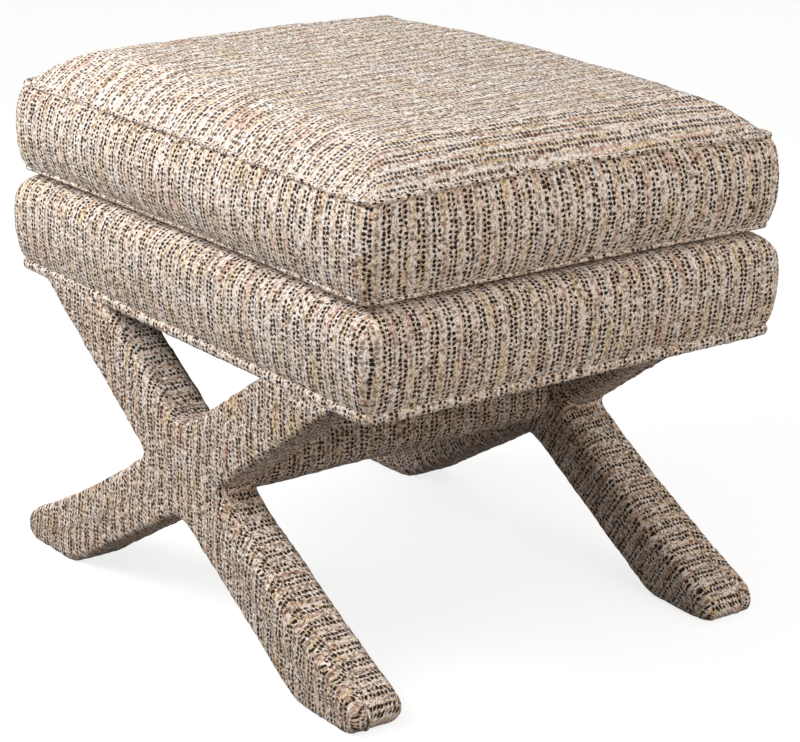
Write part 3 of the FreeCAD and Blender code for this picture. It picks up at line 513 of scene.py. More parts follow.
def tweed(name, dot_strength=1.0, painted_light=0.0):
    """Chunky slub tweed: dark dotted columns between pale, knotted yarns; painted_light makes the yarns
    paler as painted light, or darker as painted shade when it is below 0.
    """
    wiring = MaterialWiring(name)
    maths = wiring.maths
    across, along = wiring.split(wiring.node("ShaderNodeUVMap", uv_map="weave").outputs[0])[:2]

    def stretched(scale, layer=0.0):
        return wiring.combine(maths("MULTIPLY", across, scale[0]), maths("MULTIPLY", along, scale[1]), layer)

    wander = wiring.noise(stretched(WANDER_SCALE), detail=1.0)
    across = maths("MULTIPLY_ADD", wander, WANDER, across)
    fuzz = wiring.noise(wiring.combine(across, along), FUZZ_SCALE, detail=3.0, roughness=0.6, output="Color")
    fibre, fuzz_across, fuzz_along = wiring.split(fuzz, "ShaderNodeSeparateColor")
    dots = dotted_columns(wiring, across, along, fuzz_across, fuzz_along)
    nub = wiring.spread(wiring.noise(stretched(NUB_SCALE), detail=2.0, distortion=0.6), gain=3.2)
    streak = wiring.spread(wiring.noise(stretched(STREAK_SCALE, layer=2.0), detail=1.0), gain=1.6)
    tint = wiring.noise(stretched(TINT_SCALE, layer=3.0), detail=0.0)
    speck = wiring.noise(stretched(SPECK_SCALE, layer=7.0), detail=1.0)

    # painted_light moves the whole yarn tone: painted light on a lit face, painted shade on a shaded one
    shade = maths("MULTIPLY_ADD", nub, NUB_SHARE, YARN_LEVEL + painted_light)
    # Low values, where the nubs sink in the bump, give brown flecks and painted shade in the crevices
    # between nubs
    yarn = wiring.ramp(maths("MULTIPLY_ADD", streak, STREAK_SHARE, shade), *YARN_AND_CREVICE_SHADES)
    ochre = maths("DIVIDE", maths("SUBTRACT", tint, OCHRE_ABOVE), TINT_EDGE, clamp=True)
    rust = maths("DIVIDE", maths("SUBTRACT", RUST_BELOW, tint), TINT_EDGE, clamp=True)
    yarn = wiring.mix(maths("MULTIPLY", ochre, OCHRE_STRENGTH), yarn, OCHRE, "MULTIPLY")
    yarn = wiring.mix(maths("MULTIPLY", rust, RUST_STRENGTH), yarn, RUST, "MULTIPLY")
    yarn = wiring.mix(maths("MULTIPLY", dots, dot_strength), yarn, DOT_COLOUR)
    fleck = maths("ADD", wiring.spread(fibre, FLECK_GAIN), wiring.spread(speck, FLECK_GAIN, SPECK_LEVEL))
    yarn = wiring.mix(1.0, yarn, wiring.combine(fleck, fleck, fleck), "MULTIPLY")

    height = maths("MULTIPLY_ADD", fibre, FIBRE_RELIEF, maths("MULTIPLY", nub, NUB_RELIEF))
    height = maths("MULTIPLY_ADD", dots, -DOT_SINK, height)
    wiring.bump(height, TWEED_RELIEF, TWEED_BUMP)
    return wiring.finish(yarn, 0.95, sheen=0.1, specular=0.15)


SIDE_TWEED = tweed("side_tweed")
# The top panel's copy of the tweed is painted paler: painted light on the face that looks up to the lamps
TOP_TWEED_PAINTED_LIGHT = tweed("top_tweed_painted_light", dot_strength=0.92, painted_light=0.03)
# The frames' and stretcher's copy of the tweed is painted darker: painted shade for the low light under the
# seat
FRAME_TWEED_PAINTED_SHADE = tweed("frame_tweed_painted_shade", painted_light=-0.08)

# Plain materials with a grain

GRAIN_RELIEF = 0.0003
GRAIN_BUMP = 0.6
DARK_GRAIN = 0.35
LIGHT_GRAIN = 0.65
GRAIN_ROUGHNESS_SPREAD = 0.15
GRAIN_ROUGHNESS_DROP = 0.07


def grained(name, dark, light, stretch, roughness, metallic=0.0):
    """A plain material with a grain: stretch is how fine its noise is along X, Y and Z."""
    wiring = MaterialWiring(name)
    scaled = wiring.node("ShaderNodeVectorMath", operation="MULTIPLY")
    wiring.feed(scaled.inputs[0], wiring.node("ShaderNodeTexCoord").outputs["Object"])
    scaled.inputs[1].default_value = stretch
    grain = wiring.noise(scaled.outputs[0], detail=3.0, roughness=0.6, distortion=0.4)
    wiring.bump(grain, GRAIN_RELIEF, GRAIN_BUMP)
    shade = wiring.ramp(grain, (DARK_GRAIN, colour(*dark)), (LIGHT_GRAIN, colour(*light)))
    rough = wiring.maths("MULTIPLY_ADD", grain, GRAIN_ROUGHNESS_SPREAD, roughness - GRAIN_ROUGHNESS_DROP)
    return wiring.finish(shade, rough, metallic)


# Loose cushion: its shape before the cloth is blown up

CAGE_STEP = 0.010
CUSHION_INSET = 0.0033
BOXING_BULGE = 0.0095
BOXING_FULLNESS = 0.45
CROWN_RUN = 0.062
CROWN_STEEPNESS = 2.2
CROWN_FULLNESS = 0.75
CROWN_DOME = 0.003
CROWN_LEAN = 0.008
CROWN_SAMPLES = 400
CORNER_DIP = 0.40
CORNER_DIP_REACH = 0.055
UNDER_RUN = 0.040
SIDE_SEAM_RISE = 0.005


def crown_height(inset, x, y):
    """A full shoulder near the seam, lower at the corners, and a slight dome that leans to the back."""
    left = 1 - min(inset / CROWN_RUN, 1.0)
    shoulder = (1 - left ** CROWN_STEEPNESS) ** CROWN_FULLNESS
    from_corner = (TOP_HIGH[0] - abs(x)) + (TOP_HIGH[1] - abs(y))
    shoulder *= 1 - CORNER_DIP * math.exp(-max(from_corner, 0.0) / CORNER_DIP_REACH)
    along = 1 - (x / TOP_HIGH[0]) ** 2
    dome = CROWN_DOME * along * (1 - (y / TOP_HIGH[1]) ** 2) + CROWN_LEAN * along * max(y / TOP_HIGH[1], 0.0)
    return UPPER_SEAM + shoulder * (TOP_HIGH[2] - UPPER_SEAM + dome)


def crown_run(places, half):
    """Distances along the crowned fabric, from the middle, for places across a panel."""
    steps = np.linspace(0, half, CROWN_SAMPLES)
    heights = np.array([crown_height(half - step, 0.0, 0.0) for step in steps])
    runs = np.concatenate([[0.0], np.cumsum(np.hypot(np.diff(steps), np.diff(heights)))])
    return np.sign(places) * np.interp(np.abs(places), steps, runs)


def underside_height(inset, x, y):
    share = min(inset / UNDER_RUN, 1.0)
    return LOWER_SEAM - (LOWER_SEAM - BOTTOM_LOW[2]) * (1 - (1 - share) ** 2)


def boxing_row(share):
    """A row of the boxing, at a share of its height: full between the seams, drawn in at them."""
    swell = math.sin(math.pi * share) ** BOXING_FULLNESS
    return (CUSHION_INSET - BOXING_BULGE * swell, LOWER_SEAM + share * (UPPER_SEAM - LOWER_SEAM),
            CUSHION_CORNER - CUSHION_INSET, SEAM_DRAW_IN * (1 - swell))


def lift_sides(points):
    """Lifts the upper seam of the two short sides at its middle, where the full crown pulls it up."""
    bow = 1 - (points[:, 1] / TOP_HIGH[1]) ** 2
    near_side = np.clip(np.abs(points[:, 0]) / TOP_HIGH[0] * 2 - 1, 0, 1)
    share = np.clip((points[:, 2] - LOWER_SEAM) / (UPPER_SEAM - LOWER_SEAM), 0, 1)
    lifted = points.copy()
    lifted[:, 2] += SIDE_SEAM_RISE * np.clip(bow, 0, 1) * near_side ** 2 * share ** 2
    return lifted


def mark_seams(mesh):
    """Keeps the cushion's two seams sharp when it is subdivided; zones from 2 on are its boxing."""
    zones = [face.value for face in mesh.attributes["zone"].data]
    sides = {}
    for polygon in mesh.polygons:
        for key in polygon.edge_keys:
            sides.setdefault(key, set()).add(min(zones[polygon.index], 2))
    creases = mesh.attributes.new("crease_edge", "FLOAT", "EDGE")
    for edge in mesh.edges:
        if len(sides.get(edge.key, ())) > 1:
            creases.data[edge.index].value = 1.0


# Loose cushion: the cloth

CLOTH_FRAMES = 20
CLOTH_LIMIT = 0.003
CLOTH_SETTINGS = {
    "quality": 5,
    "mass": 0.3,
    "tension_stiffness": 12,
    "compression_stiffness": 12,
    "shear_stiffness": 5,
    "bending_stiffness": 1.5,
    "use_pressure": True,
    "uniform_pressure_force": 4.0,
    "vertex_group_mass": "held",
}
HOLD_REACH = 0.0005
SUBDIVISIONS = 2


def simulate(piece, held):
    """Blows the cushion up as cloth, with the held points pinned, and limits how far a point moves."""
    start = vertex_array(piece.data)
    group = piece.vertex_groups.new(name="held")
    group.add(np.flatnonzero(held).tolist(), 1.0, "REPLACE")
    cloth = piece.modifiers.new("cloth", "CLOTH")
    for setting, value in CLOTH_SETTINGS.items():
        setattr(cloth.settings, setting, value)
    cloth.settings.effector_weights.gravity = 0
    cloth.point_cache.frame_start = 1
    cloth.point_cache.frame_end = CLOTH_FRAMES
    for number in range(1, CLOTH_FRAMES + 1):
        bpy.context.scene.frame_set(number)
    evaluated = piece.evaluated_get(bpy.context.evaluated_depsgraph_get())
    moved = vertex_array(evaluated.data) - start
    piece.modifiers.remove(cloth)
    piece.vertex_groups.remove(group)
    bpy.context.scene.frame_set(1)
    length = np.linalg.norm(moved, axis=1)
    moved *= (CLOTH_LIMIT * np.tanh(length / CLOTH_LIMIT) / np.maximum(length, TINY))[:, None]
    set_vertices(piece.data, start + moved)


def subdivide(piece):
    smoother = piece.modifiers.new("smoother", "SUBSURF")
    smoother.levels = SUBDIVISIONS
    smoother.render_levels = SUBDIVISIONS
    graph = bpy.context.evaluated_depsgraph_get()
    made = bpy.data.meshes.new_from_object(piece.evaluated_get(graph), preserve_all_data_layers=True,
                                           depsgraph=graph)
    piece.modifiers.remove(smoother)
    old = piece.data
    piece.data = made
    made.name = piece.name
    bpy.data.meshes.remove(old)


def make_cushion():
    half_x = TOP_HIGH[0] + CUSHION_INSET
    half_y = TOP_HIGH[1] + CUSHION_INSET
    count = steps_for(UPPER_SEAM - LOWER_SEAM, CAGE_STEP)
    rows = [boxing_row(0.5 - 0.5 * math.cos(math.pi * number / count)) for number in range(count + 1)]
    corner = CUSHION_CORNER - CUSHION_INSET
    top, under = [
        panel(half_x - CUSHION_INSET, half_y - CUSHION_INSET, corner, SEAM_DRAW_IN, height_at, CAGE_STEP)
        for height_at in (crown_height, underside_height)
    ]
    for axis in (0, 1):
        top[1][..., axis] = crown_run(top[0][..., axis], TOP_HIGH[axis])
    mesh = patch_mesh("cushion_cover", [top, under] + band(half_x, half_y, rows, CAGE_STEP))
    # The top panel takes the paler copy of the tweed, with its painted light
    piece = add_piece("cushion_cover", mesh, "cushion", "tweed", SIDE_TWEED, TOP_TWEED_PAINTED_LIGHT)
    mark_seams(mesh)
    points = vertex_array(mesh)
    set_vertices(mesh, lift_sides(points))
    on_seam = np.abs(points[:, 2] - UPPER_SEAM) < HOLD_REACH
    below = points[:, 2] < LOWER_SEAM + HOLD_REACH
    simulate(piece, on_seam | below)
    subdivide(piece)
    mesh = piece.data
    zones = np.empty(len(mesh.polygons), dtype=np.int32)
    mesh.attributes["zone"].data.foreach_get("value", zones)
    mesh.polygons.foreach_set("material_index", (zones == 0).astype(np.int32))
    roughen(mesh, padding=0.0009, yarn=0.0006, seed=3)
    cut_zip_mouth(mesh)
    mesh.shade_smooth()
    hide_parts("cushion_top_panel", "cushion_bottom_panel", "cushion_boxing",
                "cushion_top_wadding", "cushion_bottom_wadding")


# Zip, and its mouth in the rear boxing

MOUTH_HALF_HEIGHT = 0.0062
MOUTH_END_GAP = 0.001
MOUTH_TAPER = 0.006
MOUTH_FOLD_GAP = 0.0004
MOUTH_FOLD_SPREAD = 0.001
BOXING_REACH = 0.01
TOOTH_PITCH = 0.0026
TOOTH_LAP = 0.0007
TOOTH_HALF_SHARE = 0.36
TOOTH_SHOULDER = 0.65
TOOTH_CHAMFER = 0.00025
TOOTH_STAGGER = 0.0001


def cut_zip_mouth(mesh):
    """Opens the rear boxing over the zip and folds its two edges in down to the tape."""
    shape = bmesh.new()
    shape.from_mesh(mesh)
    mouth = []
    for face in shape.faces:
        middle = face.calc_center_median()
        if (middle.y > TAPE_LOW[1] - BOXING_REACH and abs(middle.x) < TAPE_HIGH[0] - MOUTH_END_GAP
                and abs(middle.z - BOXING_MIDDLE) < MOUTH_HALF_HEIGHT):
            mouth.append(face)
    bmesh.ops.delete(shape, geom=mouth, context="FACES")
    rim = [edge for edge in shape.edges if edge.is_boundary]
    for vertex in {vertex for edge in rim for vertex in edge.verts}:
        if abs(vertex.co.x) < TAPE_HIGH[0] - MOUTH_TAPER:
            vertex.co.z = BOXING_MIDDLE + math.copysign(MOUTH_HALF_HEIGHT, vertex.co.z - BOXING_MIDDLE)
    folded = bmesh.ops.extrude_edge_only(shape, edges=rim)["geom"]
    for item in folded:
        if isinstance(item, bmesh.types.BMVert):
            item.co.y = TAPE_HIGH[1] + MOUTH_FOLD_GAP
            item.co.z += math.copysign(MOUTH_FOLD_SPREAD, item.co.z - BOXING_MIDDLE)
    shape.to_mesh(mesh)
    shape.free()
    mesh.update()


def tooth_points(middle_x, low_z, high_z, low_y, high_y):
    """One tooth as three rings of four points: a block across the chain with a chamfered outer face."""
    half = TOOTH_PITCH * TOOTH_HALF_SHARE
    shoulder_y = low_y * (1 - TOOTH_SHOULDER) + high_y * TOOTH_SHOULDER
    points = []
    for y, narrow in ((low_y, 0.0), (shoulder_y, 0.0), (high_y, TOOTH_CHAMFER)):
        for x, z in ((-half, low_z), (half, low_z), (half, high_z), (-half, high_z)):
            shift = narrow if z == low_z else -narrow
            points.append((middle_x + x - math.copysign(narrow, x), y, z + shift))
    return points


def make_zip_teeth():
    """Two rows of teeth that mesh at the middle of the chain; the upper row stands back a little."""
    low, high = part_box("zip_chain")
    middle_z = (low[2] + high[2]) / 2
    count = int((high[0] - low[0]) / TOOTH_PITCH)
    points = []
    faces = []
    for number in range(count * 2):
        x = low[0] + (number / 2 + 0.5) * TOOTH_PITCH
        if x > high[0] - TOOTH_PITCH / 2:
            continue
        start = len(points)
        if number % 2 == 0:
            points += tooth_points(x, low[2], middle_z + TOOTH_LAP, low[1], high[1])
        else:
            points += tooth_points(x, middle_z - TOOTH_LAP, high[2], low[1], high[1] - TOOTH_STAGGER)
        for ring in (start, start + 4):
            for side in range(4):
                after = (side + 1) % 4
                faces.append([ring + side, ring + after, ring + 4 + after, ring + 4 + side])
        faces.append([start + 3, start + 2, start + 1, start])
        faces.append([start + 8, start + 9, start + 10, start + 11])
    mesh = bpy.data.meshes.new("zip_teeth")
    mesh.from_pydata(points, [], faces)
    weld(mesh)
    # The teeth's brass is lightened to offset the shade in the zip's slot: painted light
    brass = grained("tooth_brass_painted_light", (150, 118, 70), (206, 172, 118), (900, 900, 900), 0.38, 1.0)
    piece = add_piece("zip_teeth", mesh, "cushion", "zip_metal", brass)
    piece.data.shade_flat()
    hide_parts("zip_chain")


# Ridge seams, which run round the cushion and round each X frame

TUBE_SIDES = 8
TUBE_YARN = 0.0003
CUSHION_SEAM_STEP = 0.0022
CUSHION_SEAMS = (
    ("cushion_top_seam", UPPER_SEAM + 0.0012, 0.0034, 0.0030),
    ("cushion_bottom_seam", LOWER_SEAM, 0.0028, 0.0023),
)


def loop_tube(name, path, up, reach_out, reach_up, seed):
    """A soft rounded ridge that follows a closed path; up is the direction square to the path's plane."""
    ahead = np.roll(path, -1, axis=0) - np.roll(path, 1, axis=0)
    ahead /= np.linalg.norm(ahead, axis=1)[:, None]
    out = np.cross(ahead, up)
    steps = np.linalg.norm(np.roll(path, -1, axis=0) - path, axis=1)
    run = np.concatenate([[0.0], np.cumsum(steps)])
    closed = np.vstack([path, path[:1]])
    closed_out = np.vstack([out, out[:1]])
    grid = np.empty((TUBE_SIDES + 1, len(closed), 3))
    weave = np.empty((TUBE_SIDES + 1, len(closed), 2))
    for number in range(TUBE_SIDES + 1):
        angle = 2 * math.pi * number / TUBE_SIDES
        grid[number] = (closed + closed_out * (reach_out * math.cos(angle))
                        + np.array(up) * (reach_up * math.sin(angle)))
        weave[number, :, 0] = run
        weave[number, :, 1] = (reach_out + reach_up) / 2 * angle
    mesh = patch_mesh(name, [(grid, weave)])
    roughen(mesh, padding=0.0, yarn=TUBE_YARN, seed=seed)
    return mesh


def make_cushion_seams():
    for name, height, reach_out, reach_up in CUSHION_SEAMS:
        path = outline_path(SEAM_HIGH[0], SEAM_HIGH[1], reach_out, CUSHION_CORNER - reach_out, height,
                            CUSHION_SEAM_STEP)
        mesh = loop_tube(name + "_ridge", lift_sides(path), (0, 0, 1), reach_out, reach_up, seed=11)
        piece = add_piece(name + "_ridge", mesh, "cushion", "tweed", SIDE_TWEED)
        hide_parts(name)


# Seat base

TURN_UNDER = 0.058
TURN_UNDER_STEPS = 8
UNDER_EDGE_INSET = 0.001
UNDER_LIFT = 0.0002
WALL_FOOT_INSET = 0.0012
WALL_FOOT_DROP = 0.0015
GROOVE_DEPTH = 0.0022
GROOVE_ROWS = 1.3
BASE_BULGE = 0.0085
BULGE_START = 0.06
BULGE_SHARE = 0.55
BASE_CORNER_SWELL = 0.006
BASE_EDGE_ROUND = 0.028
LID_STEP = 0.006


def base_rows():
    """The base cover's rows: turned under the seat, up the bulging wall, and over its rounded top edge."""
    rows = []
    for number in range(TURN_UNDER_STEPS + 1):
        share = number / TURN_UNDER_STEPS
        inset = TURN_UNDER * (1 - share) + UNDER_EDGE_INSET * share
        rows.append((inset, SEAT_UNDERSIDE + UNDER_LIFT, BASE_CORNER, 0.0))
    wall_bottom = WELT_HIGH[2]
    wall_top = BASE_HIGH[2] - BASE_EDGE_ROUND
    rows.append((WALL_FOOT_INSET, wall_bottom - WALL_FOOT_DROP, BASE_CORNER, 0.0))
    wall_steps = steps_for(wall_top - wall_bottom, MESH_STEP)
    for number in range(wall_steps + 1):
        share = number / wall_steps
        groove = GROOVE_DEPTH * math.exp(-share * wall_steps / GROOVE_ROWS)
        swell = BASE_BULGE * math.sin(math.pi * (BULGE_START + BULGE_SHARE * share))
        corner = BASE_CORNER + BASE_CORNER_SWELL * share
        rows.append((groove - swell, wall_bottom + share * (wall_top - wall_bottom), corner, 0.0))
    wall_inset = rows[-1][0]
    turn_steps = steps_for(BASE_EDGE_ROUND * math.pi / 2, MESH_STEP)
    for number in range(1, turn_steps + 1):
        angle = math.pi / 2 * number / turn_steps
        inset = wall_inset + BASE_EDGE_ROUND * (1 - math.cos(angle))
        rows.append((inset, wall_top + BASE_EDGE_ROUND * math.sin(angle), corner, 0.0))
    return rows


def make_base():
    half_x, half_y = BASE_HIGH[0], BASE_HIGH[1]
    rows = base_rows()
    mesh = patch_mesh("base_cover", band(half_x, half_y, rows, MESH_STEP, mitred=True))
    roughen(mesh, padding=0.0006, yarn=0.0006, seed=21)
    piece = add_piece("base_fabric", mesh, "stool", "tweed", SIDE_TWEED)
    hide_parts("base_cover", "base_side_wadding")
    inset, height, corner, draw_in = rows[-1]
    lid_patch = panel(half_x - inset, half_y - inset, corner, draw_in, lambda *place: height, LID_STEP)
    lid_mesh = patch_mesh("base_top", [lid_patch])
    roughen(lid_mesh, padding=0.0, yarn=0.0003, seed=22)
    lid = add_piece("base_top_fabric", lid_mesh, "stool", "tweed", SIDE_TWEED)
    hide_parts("base_foam_pad")


# Welt round the seat base: insets, with the share of its height at each

WELT_PROFILE = (
    (0.004, 0.0), (0.0012, 0.0), (0.0002, 0.1), (-0.0006, 0.35),
    (-0.0006, 0.65), (0.0002, 0.88), (0.0012, 0.97), (0.004, 0.93),
)
WELT_CORNER = BASE_CORNER + 0.0015
WELT_STEP = 0.0025


def make_welt():
    height = WELT_HIGH[2] - WELT_LOW[2]
    rows = [(inset, WELT_LOW[2] + share * height, WELT_CORNER, 0.0) for inset, share in WELT_PROFILE]
    mesh = patch_mesh("base_welt_band", band(WELT_HIGH[0], WELT_HIGH[1], rows, WELT_STEP, mitred=True))
    roughen(mesh, padding=0.0, yarn=0.0004, seed=25)
    piece = add_piece("base_welt_band", mesh, "stool", "tweed", SIDE_TWEED)
    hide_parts("base_welt")


# X frames

CROSSING_HEIGHT = 0.163
LEG_SLOPE = math.radians(33)
FRAME_OUTER_ROUND = 0.005
FRAME_INNER_ROUND = 0.012
ROUND_CORE = 0.3
FRAME_TUCK = 0.004
FRAME_EASE = 0.0006
OUTLINE_STEP = 0.0015
FACE_SLACK = 0.00005
TUCK_SLACK = 0.0002
PUFF = 0.0015
PUFF_RUN = 0.03
PUFF_EDGE = 0.0035
FOOT_SWELL = 0.0052
FOOT_SWELL_HEIGHT = 0.13
FOOT_SWELL_POWER = 0.7
FOOT_SWELL_DEPTH_SHARE = 0.8
FOOT_SOFT_RUN = 0.05
FOOT_SOFT_REACH = 9
EDGE_RUN = 0.035
FLOOR_GAP = 0.0008
LEAST_FLOOR_GAP = 0.0005
FRAME_SEAM_OUT = 0.0011
FRAME_SEAM_UP = 0.0014


def outer_outline():
    """The X frame's outline as level points x and z, in order, from the flat face of its outer cover."""
    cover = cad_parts["front_x_outer_cover"].data
    level = OUTER_LOW[1] + FACE_SLACK
    edges = {}
    for polygon in cover.polygons:
        corners = [cover.vertices[index].co for index in polygon.vertices]
        if all(corner.y < level for corner in corners):
            for key in zip(polygon.vertices, polygon.vertices[1:] + polygon.vertices[:1]):
                start, end = [tuple(np.round(cover.vertices[index].co, 6)) for index in key]
                if (end, start) in edges:
                    del edges[(end, start)]
                else:
                    edges[(start, end)] = True
    following = dict(edges.keys())
    here = next(iter(following))
    loop = []
    while here in following:
        loop.append((here[0], here[2]))
        here = following.pop(here)
    return np.array(loop)


def resample(loop, step):
    """Points about a step apart round a closed loop, with its corners kept."""
    points = []
    for start, end in zip(loop, np.roll(loop, -1, axis=0)):
        count = max(1, int(round(np.linalg.norm(end - start) / step)))
        points.extend(start + (end - start) * number / count for number in range(count))
    return np.array(points)


def softened(loop, reach):
    """A closed loop with each point moved to the mean of its neighbours, twice over."""
    for again in range(2):
        loop = sum(np.roll(loop, shift, axis=0) for shift in range(-reach, reach + 1)) / (2 * reach + 1)
    return loop


def remeshed_prism(loop, low, high, voxel):
    """A prism over a level outline, rebuilt as an even skin of small quads."""
    shape = bmesh.new()
    face = shape.faces.new([shape.verts.new((x, low, z)) for x, z in loop])
    made = bmesh.ops.extrude_face_region(shape, geom=[face])["geom"]
    for item in made:
        if isinstance(item, bmesh.types.BMVert):
            item.co.y = high
    bmesh.ops.recalc_face_normals(shape, faces=shape.faces)
    bmesh.ops.triangulate(shape, faces=shape.faces)
    mesh = bpy.data.meshes.new("prism")
    shape.to_mesh(mesh)
    shape.free()
    piece = add_object("prism", mesh)
    remesh = piece.modifiers.new("remesh", "REMESH")
    remesh.mode = "VOXEL"
    remesh.voxel_size = voxel
    evaluated = piece.evaluated_get(bpy.context.evaluated_depsgraph_get())
    skin = bpy.data.meshes.new_from_object(evaluated)
    bpy.data.objects.remove(piece)
    bpy.data.meshes.remove(mesh)
    return skin


def outline_distance(points, loop):
    """For each point its distance inside the outline, the nearest point there and its outward direction."""
    ahead = np.roll(loop, -1, axis=0) - np.roll(loop, 1, axis=0)
    ahead /= np.linalg.norm(ahead, axis=1)[:, None]
    area = np.sum(loop[:, 0] * np.roll(loop[:, 1], -1) - loop[:, 1] * np.roll(loop[:, 0], -1))
    outward = np.column_stack([ahead[:, 1], -ahead[:, 0]]) * np.sign(area)
    tree = kdtree.KDTree(len(loop))
    for number, (x, z) in enumerate(loop):
        tree.insert((x, z, 0.0), number)
    tree.balance()
    nearest = np.array([tree.find((x, z, 0.0))[1] for x, z in points])
    normal = outward[nearest]
    depth = -np.sum((points - loop[nearest]) * normal, axis=1)
    return depth, nearest, normal


def rounded(points, depth, normal, plane, side, radius):
    """Rounds the edge between the narrow face and the face at a plane; side is the way that face looks."""
    below = (plane - points[:, 1]) * side
    short_in = radius - depth
    short_below = radius - below
    reach = np.hypot(short_in, short_below)
    touched = (short_in > 0) & (short_below > 0) & (reach > radius * ROUND_CORE)
    scale = np.where(touched, radius / np.maximum(reach, TINY), 1.0)
    moved_in = np.where(touched, short_in * (1 - scale), 0.0)
    moved_below = np.where(touched, short_below * (1 - scale), 0.0)
    moved = points.copy()
    moved[:, 0] -= normal[:, 0] * moved_in
    moved[:, 2] -= normal[:, 1] * moved_in
    moved[:, 1] -= side * moved_below
    return moved


def frame_skin(loop, fine):
    """The front X frame's skin: its mesh, its points and their outward directions in the level of the X."""
    skin = remeshed_prism(loop, OUTER_LOW[1], INNER_HIGH[1], MESH_STEP)
    points = vertex_array(skin)
    depth, nearest, normal = outline_distance(points[:, [0, 2]], fine)
    points = rounded(points, depth, normal, OUTER_LOW[1], -1, FRAME_OUTER_ROUND)
    points = rounded(points, depth, normal, INNER_HIGH[1], 1, FRAME_INNER_ROUND)
    puff = np.clip(depth / PUFF_RUN, 0, 1)
    puff = PUFF * puff * (2 - puff)
    middle_y = (OUTER_LOW[1] + INNER_HIGH[1]) / 2
    points[:, 1] += np.where(np.abs(depth) > PUFF_EDGE, np.sign(points[:, 1] - middle_y) * puff, 0.0)
    foot = np.clip((FOOT_SWELL_HEIGHT - points[:, 2]) / FOOT_SWELL_HEIGHT, 0, 1) ** FOOT_SWELL_POWER
    near_edge = np.clip(1 - depth / EDGE_RUN, 0, 1)
    low_down = np.clip((FOOT_SWELL_HEIGHT - points[:, 2]) / FOOT_SOFT_RUN, 0, 1)
    points[:, [0, 2]] += (softened(fine, FOOT_SOFT_REACH) - fine)[nearest] * (near_edge * low_down)[:, None]
    points[:, [0, 2]] += normal * ((FRAME_EASE + FOOT_SWELL * foot) * near_edge)[:, None]
    points[:, 1] += np.sign(points[:, 1] - middle_y) * FOOT_SWELL * FOOT_SWELL_DEPTH_SHARE * foot
    points[:, 2] = np.maximum(points[:, 2], FLOOR_GAP)
    return skin, points, normal


def frame_weave(mesh, side, normal):
    """Places each face in the weave: upright columns outside, columns across each arm on the wrap."""
    outer_y = side * abs(OUTER_LOW[1])
    seam_y = side * abs(INNER_LOW[1] + OUTER_HIGH[1]) / 2
    inner_y = side * abs(INNER_HIGH[1])
    points = vertex_array(mesh)
    below_outer = np.abs(points[:, 1] - outer_y)
    below_inner = np.abs(points[:, 1] - inner_y)
    outside = np.column_stack([points[:, 0] + normal[:, 0] * below_outer,
                               points[:, 2] + normal[:, 1] * below_outer])
    level = points[:, [0, 2]] - np.array([0.0, CROSSING_HEIGHT])
    wraps = []
    for direction in (1, -1):
        axis = np.array([direction * math.cos(LEG_SLOPE), math.sin(LEG_SLOPE)])
        cross = level @ np.array([-axis[1], axis[0]])
        wraps.append(np.column_stack([level @ axis, cross + np.sign(cross) * below_inner]))
    rising, falling = wraps
    layer = mesh.uv_layers.new(name="weave")
    values = np.empty((len(mesh.loops), 2), dtype=np.float32)
    for polygon in mesh.polygons:
        middle = polygon.center
        if (middle[1] - seam_y) * side > 0:
            source = outside
        elif middle[0] * (middle[2] - CROSSING_HEIGHT) > 0:
            source = rising
        else:
            source = falling
        values[list(polygon.loop_indices)] = source[list(polygon.vertices)]
    layer.data.foreach_set("uv", values.ravel())


def make_frames():
    loop = outer_outline()
    top = loop[:, 1] > SEAT_UNDERSIDE - TUCK_SLACK
    loop[top, 1] += FRAME_TUCK
    fine = resample(loop, OUTLINE_STEP)
    skin, front_points, normal = frame_skin(loop, fine)
    for prefix, side in (("front", -1), ("back", 1)):
        mesh = skin.copy()
        points = front_points.copy()
        points[:, 1] *= -side
        if side > 0:
            mesh.flip_normals()
        set_vertices(mesh, points)
        frame_weave(mesh, side, normal)
        roughen(mesh, padding=0.0008, yarn=0.0006, seed=31)
        points = vertex_array(mesh)
        points[:, 2] = np.maximum(points[:, 2], LEAST_FLOOR_GAP)
        set_vertices(mesh, points)
        piece = add_piece(prefix + "_x_fabric", mesh, "stool", "tweed", FRAME_TWEED_PAINTED_SHADE)
        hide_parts(prefix + "_x_outer_cover", prefix + "_x_inner_cover", prefix + "_x_wadding")
        seam_y = side * abs(OUTER_HIGH[1])
        path = np.column_stack([fine[:, 0], np.full(len(fine), seam_y), fine[:, 1]])
        seam_mesh = loop_tube(prefix + "_x_seam", path, (0, side, 0), FRAME_SEAM_OUT, FRAME_SEAM_UP, seed=33)
        add_piece(prefix + "_x_seam", seam_mesh, "stool", "tweed", FRAME_TWEED_PAINTED_SHADE)
    bpy.data.meshes.remove(skin)


# Stretcher

STRETCHER_ROUND = 0.028
STRETCHER_PINCH = 0.002
STRETCHER_PINCH_REACH = 0.006


